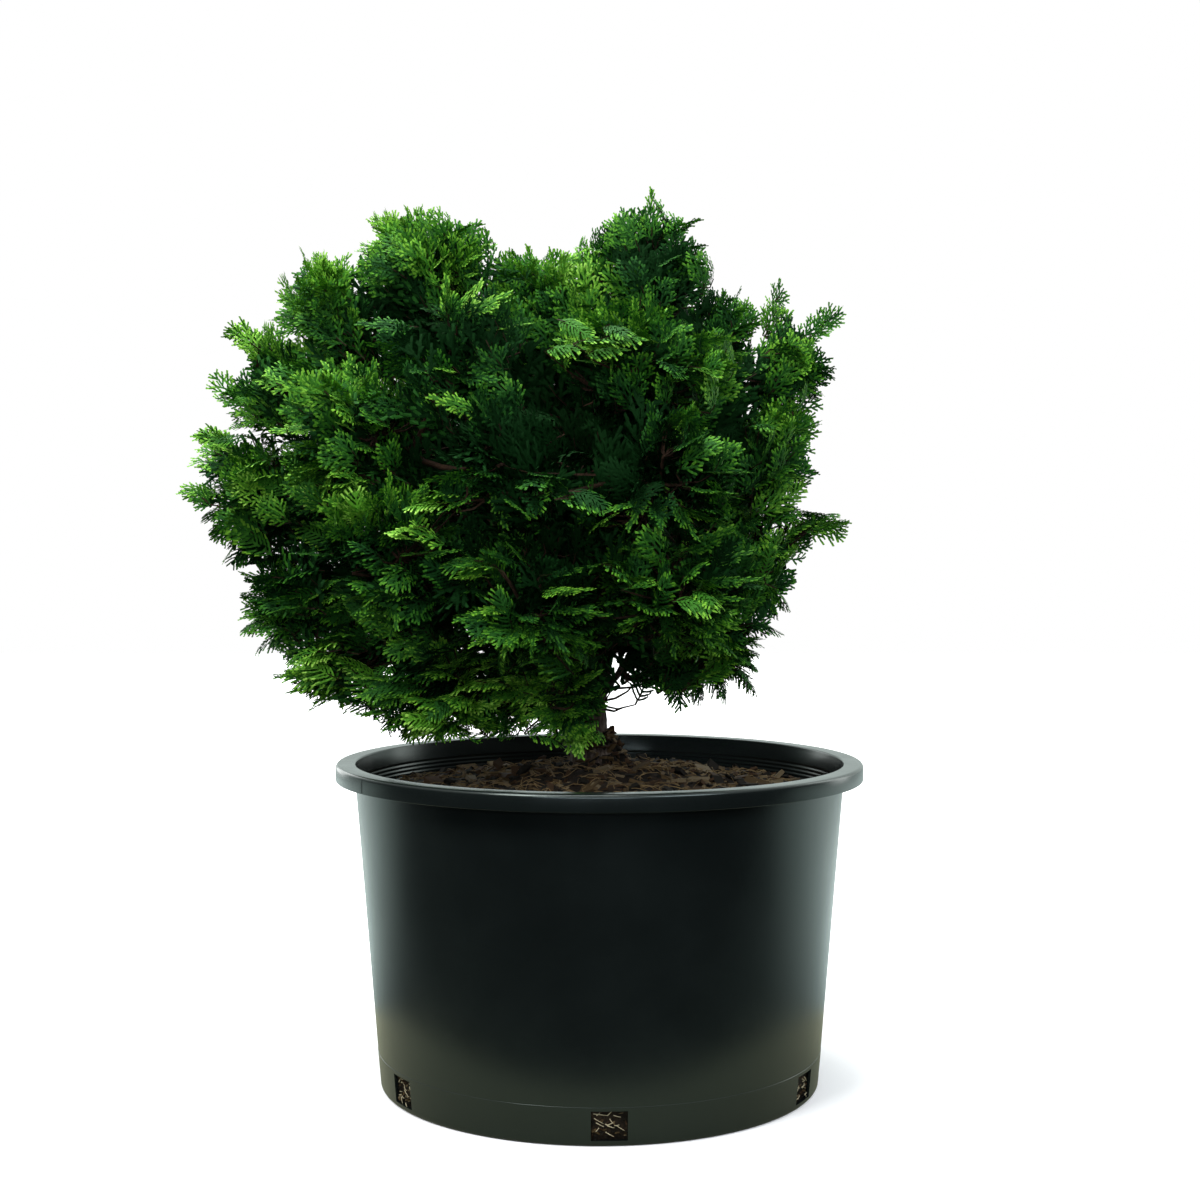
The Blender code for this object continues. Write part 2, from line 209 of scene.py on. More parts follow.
class NodeSheet:
    """A node tree with short calls to add and join nodes."""

    def __init__(self, tree: bpy.types.NodeTree) -> None:
        """Wrap the tree."""
        self.tree = tree

    def add(self, kind: str, **settings: object) -> bpy.types.Node:
        """Add a node and set its properties, or its sockets where the name is a socket's.

        Args:
            kind: The node's type name.
            settings: Properties by name, or socket values by name with spaces as underscores.

        Returns:
            The new node.
        """
        made = self.tree.nodes.new(kind)
        for key, value in settings.items():
            if hasattr(made, key):
                setattr(made, key, value)
            else:
                made.inputs[key.replace("_", " ")].default_value = value
        return made

    def join(self, out: bpy.types.NodeSocket, into: bpy.types.NodeSocket) -> None:
        """Link an output socket to an input socket."""
        self.tree.links.new(out, into)

    def rescale(
        self,
        source: bpy.types.NodeSocket,
        span: tuple[float, float],
        result: tuple[float, float] = (0.0, 1.0),
        **settings: object,
    ) -> bpy.types.NodeSocket:
        """Map a span of values onto another one.

        Args:
            source: The value.
            span: Its low and high end.
            result: What they become.
            settings: Further properties of the node.

        Returns:
            The socket of the result.
        """
        made = self.add("ShaderNodeMapRange", **settings)
        made.inputs["From Min"].default_value, made.inputs["From Max"].default_value = span
        made.inputs["To Min"].default_value, made.inputs["To Max"].default_value = result
        self.join(source, made.inputs["Value"])
        return made.outputs["Result"]

    def weigh(
        self, source: bpy.types.NodeSocket, weight: float, other: bpy.types.NodeSocket
    ) -> bpy.types.NodeSocket:
        """Add a weighted value to another.

        Args:
            source: The value that is weighted.
            weight: Its weight.
            other: The value it is added to.

        Returns:
            The socket of the sum.
        """
        made = self.add("ShaderNodeMath", operation="MULTIPLY_ADD")
        made.inputs[1].default_value = weight
        self.join(source, made.inputs[0])
        self.join(other, made.inputs[2])
        return made.outputs["Value"]

    def length(self, source: bpy.types.NodeSocket) -> bpy.types.NodeSocket:
        """Measure a vector.

        Args:
            source: The vector.

        Returns:
            The socket of its length.
        """
        made = self.add("ShaderNodeVectorMath", operation="LENGTH")
        self.join(source, made.inputs[0])
        return made.outputs["Value"]

    def colour_mix(
        self, factor: bpy.types.NodeSocket
    ) -> tuple[list[bpy.types.NodeSocket], bpy.types.NodeSocket]:
        """Add a mix of two colours.

        Args:
            factor: How much of the second colour there is.

        Returns:
            The sockets of the two colours, and the socket of the result.
        """
        made = self.add("ShaderNodeMix", data_type="RGBA")
        self.join(factor, made.inputs["Factor"])
        colours = [socket for socket in made.inputs if socket.type == "RGBA"]
        return colours, next(socket for socket in made.outputs if socket.type == "RGBA")

    def ramp(
        self, source: bpy.types.NodeSocket, stops: list[tuple[float, Colour]]
    ) -> bpy.types.NodeSocket:
        """Add a colour ramp fed by the source.

        Args:
            source: The value that drives it.
            stops: Position and colour of each stop.

        Returns:
            The socket of the colour.
        """
        made = self.tree.nodes.new("ShaderNodeValToRGB")
        while len(made.color_ramp.elements) < len(stops):
            made.color_ramp.elements.new(0.5)
        for element, (place, colour) in zip(made.color_ramp.elements, stops):
            element.position = place
            element.color = (*colour, 1.0)
        self.join(source, made.inputs["Fac"])
        return made.outputs["Color"]


def grain_group() -> bpy.types.NodeTree:
    """Build the shared grain group, which puts out a coarse mask, a fine mask and a height.

    Returns:
        The node group, which is built once.
    """
    known = bpy.data.node_groups.get("surface_grain")
    if known:
        return known
    tree = bpy.data.node_groups.new("surface_grain", "ShaderNodeTree")
    for name, value in (("Coarse Scale", 20.0), ("Fine Scale", 200.0)):
        made = tree.interface.new_socket(name=name, in_out="INPUT", socket_type="NodeSocketFloat")
        made.default_value = value
    made = tree.interface.new_socket(name="Stretch", in_out="INPUT", socket_type="NodeSocketVector")
    made.default_value = (1.0, 1.0, 1.0)
    for name in ("Coarse", "Fine", "Height"):
        tree.interface.new_socket(name=name, in_out="OUTPUT", socket_type="NodeSocketFloat")
    sheet = NodeSheet(tree)
    start = sheet.add("NodeGroupInput")
    end = sheet.add("NodeGroupOutput")
    place = sheet.add("ShaderNodeTexCoord")
    stretch = sheet.add("ShaderNodeVectorMath", operation="MULTIPLY")
    sheet.join(place.outputs["Object"], stretch.inputs[0])
    sheet.join(start.outputs["Stretch"], stretch.inputs[1])
    coarse = sheet.add("ShaderNodeTexNoise", Detail=5.0, Roughness=0.6)
    fine = sheet.add("ShaderNodeTexNoise", Detail=4.0, Roughness=0.65)
    for cloud, scale in ((coarse, "Coarse Scale"), (fine, "Fine Scale")):
        sheet.join(stretch.outputs["Vector"], cloud.inputs["Vector"])
        sheet.join(start.outputs[scale], cloud.inputs["Scale"])
    total = sheet.add("ShaderNodeMath", operation="ADD")
    sheet.join(coarse.outputs["Fac"], total.inputs[0])
    sheet.join(fine.outputs["Fac"], total.inputs[1])
    sheet.join(coarse.outputs["Fac"], end.inputs["Coarse"])
    sheet.join(fine.outputs["Fac"], end.inputs["Fine"])
    sheet.join(total.outputs["Value"], end.inputs["Height"])
    return tree


def blank_material(name: str) -> tuple[bpy.types.Material, NodeSheet, bpy.types.Node]:
    """Start a material.

    Args:
        name: The material's name.

    Returns:
        The material, its node sheet and its Principled shader.
    """
    material = bpy.data.materials.new(name)
    material.use_nodes = True
    return material, NodeSheet(material.node_tree), material.node_tree.nodes["Principled BSDF"]


@dataclass(frozen=True)
class PlainFinish:
    """A finish of one colour, used for leaves, chips and fibres."""

    name: str
    colour: Colour
    roughness: float = 0.55
    specular: float = 0.4

    def material(self) -> bpy.types.Material:
        """Build the material on its first use.

        Returns:
            The material.
        """
        known = bpy.data.materials.get(self.name)
        if known:
            return known
        material, _, shader = blank_material(self.name)
        shader.inputs["Base Color"].default_value = (*self.colour, 1.0)
        shader.inputs["Roughness"].default_value = self.roughness
        shader.inputs["Specular IOR Level"].default_value = self.specular
        return material


@dataclass(frozen=True)
class GrainFinish:
    """A finish whose colour, roughness and relief follow the grain group."""

    name: str
    dark: Colour
    middle: Colour
    light: Colour
    roughness: tuple[float, float]
    coarse: float
    fine: float
    stretch: Colour = (1.0, 1.0, 1.0)
    relief: float = 0.0005
    relief_strength: float = 0.5
    specular: float = 0.5
    tint: Colour = (1.0, 1.0, 1.0)

    def material(self) -> bpy.types.Material:
        """Build the material on its first use.

        Returns:
            The material.
        """
        known = bpy.data.materials.get(self.name)
        if known:
            return known
        material, sheet, shader = blank_material(self.name)
        grain = sheet.add("ShaderNodeGroup")
        grain.node_tree = grain_group()
        grain.inputs["Coarse Scale"].default_value = self.coarse
        grain.inputs["Fine Scale"].default_value = self.fine
        grain.inputs["Stretch"].default_value = self.stretch
        half = sheet.add("ShaderNodeMath", operation="MULTIPLY")
        half.inputs[1].default_value = 0.5
        sheet.join(grain.outputs["Coarse"], half.inputs[0])
        mixed = sheet.weigh(grain.outputs["Fine"], 0.5, half.outputs["Value"])
        stops = [(0.36, self.dark), (0.5, self.middle), (0.66, self.light)]
        sheet.join(sheet.ramp(mixed, stops), shader.inputs["Base Color"])
        rough = sheet.rescale(grain.outputs["Coarse"], (0.3, 0.7), self.roughness)
        sheet.join(rough, shader.inputs["Roughness"])
        bump = sheet.add("ShaderNodeBump", Strength=self.relief_strength, Distance=self.relief)
        sheet.join(grain.outputs["Height"], bump.inputs["Height"])
        sheet.join(bump.outputs["Normal"], shader.inputs["Normal"])
        shader.inputs["Specular IOR Level"].default_value = self.specular
        shader.inputs["Specular Tint"].default_value = (*self.tint, 1.0)
        return material


class Finish(Enum):
    """Every finish on the plant and its pot that isn't a leaf shade."""

    PLASTIC = GrainFinish(
        "moulded_black_plastic",
        dark=(0.0046, 0.0064, 0.0061),
        middle=(0.0057, 0.0080, 0.0076),
        light=(0.0074, 0.0102, 0.0097),
        roughness=(0.18, 0.27),
        coarse=14.0,
        fine=900.0,
        relief=0.00010,
        relief_strength=0.16,
        tint=(0.84, 1.0, 0.93),
    )
    BARK = GrainFinish(
        "fibrous_bark",
        dark=(0.012, 0.0080, 0.0055),
        middle=(0.038, 0.026, 0.018),
        light=(0.140, 0.112, 0.085),
        roughness=(0.80, 0.95),
        coarse=55.0,
        fine=420.0,
        stretch=(1.0, 1.0, 0.22),
        relief=0.0009,
        relief_strength=0.9,
        specular=0.25,
    )
    TWIG = GrainFinish(
        "red_brown_twig",
        dark=(0.009, 0.0055, 0.003),
        middle=(0.022, 0.012, 0.0065),
        light=(0.048, 0.027, 0.015),
        roughness=(0.70, 0.90),
        coarse=90.0,
        fine=600.0,
        relief=0.0003,
        specular=0.12,
    )
    # Darker bark for the wood in the crown's shade: painted shade.
    BARK_PAINTED_SHADE = GrainFinish(
        "shaded_bark",
        dark=(0.006, 0.0045, 0.003),
        middle=(0.015, 0.011, 0.0075),
        light=(0.040, 0.031, 0.022),
        roughness=(0.80, 0.95),
        coarse=55.0,
        fine=420.0,
        stretch=(1.0, 1.0, 0.22),
        relief=0.0009,
        relief_strength=0.6,
        specular=0.08,
    )
    MIX = GrainFinish(
        "damp_potting_mix",
        dark=(0.0035, 0.0023, 0.0013),
        middle=(0.0120, 0.0078, 0.0042),
        light=(0.0360, 0.0240, 0.0140),
        roughness=(0.80, 1.00),
        coarse=60.0,
        fine=520.0,
        relief=0.0012,
        relief_strength=0.9,
        specular=0.2,
    )
    CHIP_DARK = PlainFinish("bark_chip_dark", (0.0060, 0.0046, 0.0022), 0.9, 0.2)
    CHIP_RED = PlainFinish("bark_chip_red", (0.034, 0.0175, 0.0066), 0.85, 0.2)
    CHIP_BROWN = PlainFinish("bark_chip_brown", (0.060, 0.038, 0.0145), 0.85, 0.2)
    CHIP_GREY = PlainFinish("bark_chip_grey", (0.120, 0.090, 0.048), 0.85, 0.2)
    FIBRE = PlainFinish("coir_fibre", (0.150, 0.102, 0.044), 0.8, 0.2)
    ROOT = PlainFinish("pale_root", (0.420, 0.370, 0.240), 0.7, 0.3)

    def material(self) -> bpy.types.Material:
        """Return the finish's material."""
        return self.value.material()


# Leaf colours from dark to light, which are mostly painted light and shade: lit and shaded copies of
# one leaf colour, dealt to each spray by where it lies in the crown. The brighter tips of new growth
# add their tone on top. The darker steps get less specular, so the painted shade shows no sheen.
LEAF_TONES_AND_PAINTED_LIGHT = (
    PlainFinish("leaf_deep", (0.0036, 0.0195, 0.0042), 0.65, 0.02),
    PlainFinish("leaf_blue_green", (0.0074, 0.0400, 0.0080), 0.64, 0.04),
    PlainFinish("leaf_dark_green", (0.0142, 0.0730, 0.0094), 0.62, 0.07),
    PlainFinish("leaf_green", (0.0290, 0.1300, 0.0098), 0.60, 0.10),
    PlainFinish("leaf_light_green", (0.0680, 0.2220, 0.0135), 0.58, 0.12),
    PlainFinish("leaf_bright", (0.1400, 0.3500, 0.0260), 0.56, 0.13),
    PlainFinish("leaf_yellow_green", (0.2450, 0.4950, 0.0640), 0.55, 0.14),
)


# Geometry Nodes rules


class GrowthRule(NodeSheet):
    """A Geometry Nodes tree with named inputs, and the call that makes its result a plain mesh."""

    def __init__(self, name: str) -> None:
        """Start a tree with a geometry input and output.

        Args:
            name: The tree's name.
        """
        super().__init__(bpy.data.node_groups.new(name, "GeometryNodeTree"))
        self.add_socket("Geometry", "NodeSocketGeometry")
        self.tree.interface.new_socket(
            name="Geometry", in_out="OUTPUT", socket_type="NodeSocketGeometry"
        )
        self.start = self.add("NodeGroupInput")
        self.end = self.add("NodeGroupOutput")

    def add_socket(self, name: str, kind: str) -> None:
        """Add a named input to the tree."""
        self.tree.interface.new_socket(name=name, in_out="INPUT", socket_type=kind)

    def named(self, attribute: str, kind: str) -> bpy.types.NodeSocket:
        """Read a stored attribute.

        Args:
            attribute: Its name.
            kind: Its data type.

        Returns:
            The socket that carries it.
        """
        reader = self.add("GeometryNodeInputNamedAttribute", data_type=kind)
        reader.inputs["Name"].default_value = attribute
        return next(s for s in reader.outputs if s.name == "Attribute" and s.enabled)

    def repeat(self, source: bpy.types.NodeSocket, pick: bool) -> bpy.types.NodeSocket:
        """Set a copy of the source on each point, turned and sized as the point says.

        Args:
            source: The instance, or the instances to pick from.
            pick: Whether each point picks one of them by its form number.

        Returns:
            The socket of the realized copies.
        """
        spread = self.add("GeometryNodeInstanceOnPoints")
        self.join(self.start.outputs["Geometry"], spread.inputs["Points"])
        self.join(source, spread.inputs["Instance"])
        if pick:
            spread.inputs["Pick Instance"].default_value = True
            self.join(self.named("form", "INT"), spread.inputs["Instance Index"])
        self.join(self.named("turn", "QUATERNION"), spread.inputs["Rotation"])
        self.join(self.named("size", "FLOAT_VECTOR"), spread.inputs["Scale"])
        whole = self.add("GeometryNodeRealizeInstances")
        self.join(spread.outputs["Instances"], whole.inputs["Geometry"])
        return whole.outputs["Geometry"]

    def paint(self, source: bpy.types.NodeSocket, materials: int) -> bpy.types.NodeSocket:
        """Give each face the material whose number is its shade plus its tone, or 0 if that is less.

        Args:
            source: The realized geometry.
            materials: How many material inputs there are, named Material 0 and so on.

        Returns:
            The socket of the painted geometry.
        """
        total = self.add("ShaderNodeMath", operation="ADD")
        self.join(self.named("shade", "FLOAT"), total.inputs[0])
        self.join(self.named("tone", "FLOAT"), total.inputs[1])
        floor = self.add("ShaderNodeMath", operation="MAXIMUM")
        floor.inputs[1].default_value = 0.0
        self.join(total.outputs["Value"], floor.inputs[0])
        for number in range(materials):
            same = self.add("FunctionNodeCompare", data_type="FLOAT", operation="EQUAL")
            same.inputs["B"].default_value = float(number)
            same.inputs["Epsilon"].default_value = 0.5
            self.join(floor.outputs["Value"], same.inputs["A"])
            dress = self.add("GeometryNodeSetMaterial")
            self.join(source, dress.inputs["Geometry"])
            self.join(same.outputs["Result"], dress.inputs["Selection"])
            self.join(self.start.outputs[f"Material {number}"], dress.inputs["Material"])
            source = dress.outputs["Geometry"]
        return source

    def grow(
        self, source: bpy.types.Object, name: str, values: dict[str, object]
    ) -> bpy.types.Object:
        """Run the tree on the source object and keep the result as a plain mesh.

        Args:
            source: The object that carries the points, edges or surface. It is used up.
            name: The name of the result.
            values: The value of each named input.

        Returns:
            The new object.
        """
        modifier = source.modifiers.new(self.tree.name, "NODES")
        modifier.node_group = self.tree
        for item in self.tree.interface.items_tree:
            if item.item_type == "SOCKET" and item.in_out == "INPUT" and item.name in values:
                modifier[item.identifier] = values[item.name]
        graph = bpy.context.evaluated_depsgraph_get()
        mesh = bpy.data.meshes.new_from_object(source.evaluated_get(graph))
        mesh.name = name
        bpy.data.objects.remove(source, do_unlink=True)
        return link_new(name, mesh)


def leaf_rule() -> GrowthRule:
    """Make the rule that sets a scale leaf on each point of a spray's skeleton.

    Returns:
        The rule.
    """
    rule = GrowthRule("scale_leaves_on_stems")
    rule.add_socket("Scale Leaf", "NodeSocketObject")
    leaf = rule.add("GeometryNodeObjectInfo")
    leaf.inputs["As Instance"].default_value = True
    rule.join(rule.start.outputs["Scale Leaf"], leaf.inputs["Object"])
    rule.join(rule.repeat(leaf.outputs["Geometry"], False), rule.end.inputs["Geometry"])
    return rule


def painted_rule(name: str, shades: int) -> GrowthRule:
    """Make a rule that sets one of several forms on each point and paints it by shade.

    Args:
        name: The tree's name.
        shades: How many materials it deals out.

    Returns:
        The rule.
    """
    rule = GrowthRule(name)
    rule.add_socket("Forms", "NodeSocketCollection")
    for number in range(shades):
        rule.add_socket(f"Material {number}", "NodeSocketMaterial")
    forms = rule.add("GeometryNodeCollectionInfo")
    forms.inputs["Separate Children"].default_value = True
    forms.inputs["Reset Children"].default_value = True
    rule.join(rule.start.outputs["Forms"], forms.inputs["Collection"])
    whole = rule.repeat(forms.outputs["Instances"], True)
    rule.join(rule.paint(whole, shades), rule.end.inputs["Geometry"])
    return rule


def stem_rule() -> GrowthRule:
    """Make the rule that gives lines of edges a round section of their stored thickness.

    Returns:
        The rule.
    """
    rule = GrowthRule("round_stems")
    rule.add_socket("Sides", "NodeSocketInt")
    rule.add_socket("Material", "NodeSocketMaterial")
    lines = rule.add("GeometryNodeMeshToCurve")
    rule.join(rule.start.outputs["Geometry"], lines.inputs["Mesh"])
    ring = rule.add("GeometryNodeCurvePrimitiveCircle")
    ring.inputs["Radius"].default_value = 1.0
    rule.join(rule.start.outputs["Sides"], ring.inputs["Resolution"])
    tube = rule.add("GeometryNodeCurveToMesh")
    tube.inputs["Fill Caps"].default_value = True
    rule.join(lines.outputs["Curve"], tube.inputs["Curve"])
    rule.join(ring.outputs["Curve"], tube.inputs["Profile Curve"])
    rule.join(rule.named("thick", "FLOAT"), tube.inputs["Scale"])
    whole = rule.add("GeometryNodeRealizeInstances")
    rule.join(tube.outputs["Mesh"], whole.inputs["Geometry"])
    dress = rule.add("GeometryNodeSetMaterial")
    rule.join(whole.outputs["Geometry"], dress.inputs["Geometry"])
    rule.join(rule.start.outputs["Material"], dress.inputs["Material"])
    rule.join(dress.outputs["Geometry"], rule.end.inputs["Geometry"])
    return rule


# Stems


@dataclass
class StemLines:
    """Lines that become round stems, each point with its own radius."""

    points: list[Point] = field(default_factory=list)
    edges: list[tuple[int, int]] = field(default_factory=list)
    radii: list[float] = field(default_factory=list)

    def add(self, line: list[Vector], start: float, end: float) -> None:
        """Add one tapering line.

        Args:
            line: Its points.
            start: The radius at the first point.
            end: The radius at the last point.
        """
        first = len(self.points)
        for i, point in enumerate(line):
            share = i / (len(line) - 1)
            self.points.append(tuple(point))
            self.radii.append(start + (end - start) * share)
            if i:
                self.edges.append((first + i - 1, first + i))

    def build(
        self, rule: GrowthRule, name: str, sides: int, material: bpy.types.Material
    ) -> bpy.types.Object:
        """Make the lines into one mesh of round stems.

        Args:
            rule: The round stem rule.
            name: The mesh's name.
            sides: How many sides each stem has.
            material: Its material.

        Returns:
            The new object.
        """
        mesh = mesh_from(name + "_lines", self.points, [], self.edges)
        put_values(mesh, "thick", "FLOAT", self.radii)
        source = link_new(name + "_lines", mesh)
        made = rule.grow(source, name, {"Sides": sides, "Material": material})
        smooth_faces(made.data, 75.0)
        return made


def arc(start: Vector, end: Vector, lift: Vector, steps: int) -> list[Vector]:
    """Bend a line from start to end.

    Args:
        start: Its first point.
        end: Its last point.
        lift: How far its middle control point is moved.
        steps: How many pieces it has.

    Returns:
        The points along it.
    """
    middle = (start + end) / 2 + lift
    made = []
    for i in range(steps + 1):
        t = i / steps
        made.append(start * (1 - t) ** 2 + middle * (2 * t * (1 - t)) + end * t**2)
    return made


# Sprays


class Habit(Enum):
    """How a spray of hinoki foliage holds itself."""

    PLATE = "plate"
    SHELL = "shell"
    LAX = "lax"
    COMB = "comb"
    CREST = "crest"
    SHOOT = "shoot"
    INNER = "inner"


@dataclass(frozen=True)
class Leaf:
    """One scale leaf on a flat spray: its place, heading, scale and tone."""

    x: float
    y: float
    heading: float
    scale: float
    tone: int


LEAF_OVERLAP = 0.8  # The step between two leaves of a stem, as a share of a leaf's length.


@dataclass(frozen=True)
class SprayForm:
    """The branching rule of one fan-shaped spray, grown along +Y with its upper face to +Z."""

    habit: Habit
    seed: int
    length: float = 0.032
    reach: float = 0.0160
    side_step: float = 0.0034
    side_angle: float = 54.0
    finger_reach: float = 0.0066
    leaf_length: float = 0.0037
    leaf_width: float = 0.0021
    bend: float = 35.0
    cup: float = 25.0

    def on_fan(self, x: float, y: float) -> Vector:
        """Bend a flat place on the spray over its length and across its width.

        Args:
            x: Distance across the flat spray.
            y: Distance along it.

        Returns:
            The place in space.
        """
        along = math.radians(self.bend) / self.length * y
        across = math.radians(self.cup) / self.reach * x
        bow = self.length / math.radians(self.bend)
        side = self.reach / math.radians(self.cup)
        drop = side * (1.0 - math.cos(across))
        ahead = bow * math.sin(along) - drop * math.sin(along)
        height = -bow * (1.0 - math.cos(along)) - drop * math.cos(along)
        return Vector((side * math.sin(across), ahead, height))

    def chord(self) -> Vector:
        """Return the line from the spray's base to its tip."""
        return self.on_fan(0.0, self.length)

    def stem(
        self, start: tuple[float, float], heading: float, length: float, curl: float, tone: int
    ) -> list[Leaf]:
        """Walk along a flat stem and set a leaf at each step.

        Args:
            start: Where the stem begins on the flat spray.
            heading: Its direction in radians, from +Y towards +X.
            length: How far it runs.
            curl: How much its heading changes over its length.
            tone: The tone of its leaves.

        Returns:
            Its leaves.
        """
        step = self.leaf_length * LEAF_OVERLAP
        count = max(1, round(length / step))
        x, y = start
        leaves = []
        for i in range(count):
            turn = heading + curl * (i + 0.5) / count
            leaves.append(Leaf(x, y, turn, 1.0, tone))
            x += math.sin(turn) * step
            y += math.cos(turn) * step
        return leaves

    def flat(self, chance: random.Random) -> list[Leaf]:
        """Grow the flat spray: its stem, its side stems and their fingers.

        Args:
            chance: The spray's random source.

        Returns:
            Its leaves.
        """
        main = self.stem((0.0, 0.0), 0.0, self.length, chance.uniform(-0.35, 0.35), 0)
        leaves = list(main)
        travelled = self.length * 0.12
        side = chance.choice((-1, 1))
        while travelled < self.length * 0.97:
            share = travelled / self.length
            start = main[min(len(main) - 1, int(share * len(main)))]
            fan = math.sin(math.pi * min(1.0, 0.25 + 0.76 * share)) ** 0.75
            reach = self.reach * max(0.20, fan) * chance.uniform(0.80, 1.15)
            angle = math.radians(self.side_angle - 15.0 * share + chance.uniform(-7, 7))
            heading = start.heading + side * angle
            limb = self.stem((start.x, start.y), heading, reach, -side * 0.35, 0)
            leaves += limb
            leaves += self.fingers(limb, share, chance)
            travelled += self.side_step * chance.uniform(0.85, 1.15)
            side = -side
        return leaves

    def fingers(self, limb: list[Leaf], share: float, chance: random.Random) -> list[Leaf]:
        """Grow the fingers of a side stem, on one edge and the other in turn, and its end leaf.

        Args:
            limb: The side stem's leaves.
            share: How far along the spray it stands.
            chance: The spray's random source.

        Returns:
            The fingers' leaves.
        """
        leaves: list[Leaf] = []
        edge = chance.choice((-1, 1))
        for i, base in enumerate(limb[1:] if self.finger_reach else [], start=1):
            length = self.finger_reach * (1.0 - 0.35 * i / len(limb)) * chance.uniform(0.75, 1.15)
            heading = base.heading + edge * math.radians(42.0 + chance.uniform(-8, 8))
            finger = self.stem((base.x, base.y), heading, length, -edge * 0.3, 1)
            bright = i >= len(limb) - 2 or share > 0.72
            if bright:
                last = finger[-1]
                finger[-1] = Leaf(last.x, last.y, last.heading, 1.0, 2)
            leaves += finger
            edge = -edge
        end = limb[-1]
        step = self.leaf_length * LEAF_OVERLAP
        tip = (end.x + math.sin(end.heading) * step, end.y + math.cos(end.heading) * step)
        leaves.append(Leaf(tip[0], tip[1], end.heading, 0.95, 2))
        return leaves

    def skeleton(self) -> list[tuple[Vector, Quaternion, Vector, int]]:
        """Grow the spray in space.

        Returns:
            Place, turn, scale and tone of each scale leaf.
        """
        chance = random.Random(self.seed)
        made = []
        for leaf in self.flat(chance):
            here = self.on_fan(leaf.x, leaf.y)
            dx, dy = math.sin(leaf.heading) * 0.001, math.cos(leaf.heading) * 0.001
            forward = self.on_fan(leaf.x + dx, leaf.y + dy) - here
            sideways = self.on_fan(leaf.x + dy, leaf.y - dx) - here
            face = sideways.cross(forward).normalized()
            face += Vector(chance.uniform(-0.17, 0.17) for _ in range(3))
            here += face * chance.uniform(-0.0006, 0.0006)
            wide = leaf.scale * self.leaf_width * chance.uniform(0.88, 1.12)
            long = leaf.scale * self.leaf_length * chance.uniform(0.92, 1.15)
            made.append((here, turn_to(forward, face), Vector((wide, long, wide)), leaf.tone))
        return made


SPRAY_FORMS = (
    SprayForm(Habit.PLATE, 11),
    SprayForm(Habit.PLATE, 12, length=0.030, reach=0.0175, bend=46.0, cup=34.0),
    SprayForm(Habit.PLATE, 13, length=0.035, reach=0.0150, bend=28.0, cup=20.0),
    SprayForm(Habit.SHELL, 21, length=0.025, reach=0.0170, bend=-14.0, cup=-34.0),
    SprayForm(Habit.SHELL, 22, length=0.029, reach=0.0160, bend=18.0, cup=-26.0),
    SprayForm(Habit.LAX, 31, length=0.038, reach=0.0155, bend=62.0, cup=44.0, side_angle=46.0,
              side_step=0.0038, finger_reach=0.0094),
    SprayForm(Habit.LAX, 32, length=0.034, reach=0.0165, bend=52.0, cup=52.0, side_angle=48.0,
              side_step=0.0038, finger_reach=0.0100),
    SprayForm(Habit.CREST, 41, length=0.020, reach=0.0145, bend=12.0, cup=-22.0, side_step=0.0030),
    SprayForm(Habit.CREST, 42, length=0.023, reach=0.0135, bend=24.0, cup=18.0, side_step=0.0030),
    SprayForm(Habit.SHOOT, 51, length=0.048, reach=0.0110, bend=-8.0, cup=14.0, side_angle=40.0),
    SprayForm(Habit.COMB, 61, length=0.040, reach=0.0120, bend=40.0, cup=58.0, side_angle=62.0,
              side_step=0.0015, finger_reach=0.0, leaf_length=0.0046, leaf_width=0.0021),
    SprayForm(Habit.COMB, 62, length=0.034, reach=0.0140, bend=46.0, cup=50.0, side_angle=56.0,
              side_step=0.0016, finger_reach=0.0, leaf_length=0.0048, leaf_width=0.0021),
    SprayForm(Habit.INNER, 71, length=0.038, reach=0.020, bend=44.0, cup=36.0, side_step=0.0064,
              finger_reach=0.0080, leaf_length=0.0072, leaf_width=0.0034),
    SprayForm(Habit.INNER, 72, length=0.034, reach=0.021, bend=30.0, cup=48.0, side_step=0.0060,
              finger_reach=0.0075, leaf_length=0.0070, leaf_width=0.0034),
)
# Numbers of the forms that each place in the crown picks from. One named twice is picked twice
# as often.
DEEP_FORMS = (12, 13)
LOW_FORMS = (5, 6, 10, 10, 11, 11)
TOP_FORMS = (3, 4, 7, 8)
MIXED_FORMS = (0, 1, 1, 2, 4, 5, 7, 8)
LONG_SHOOT = 9
HIGH_EDGE_FORMS = (0, 2, 4, 8)
LOW_EDGE_FORMS = (5, 6, 10, 11)
TUFT_FORMS = (4, 10, 11)


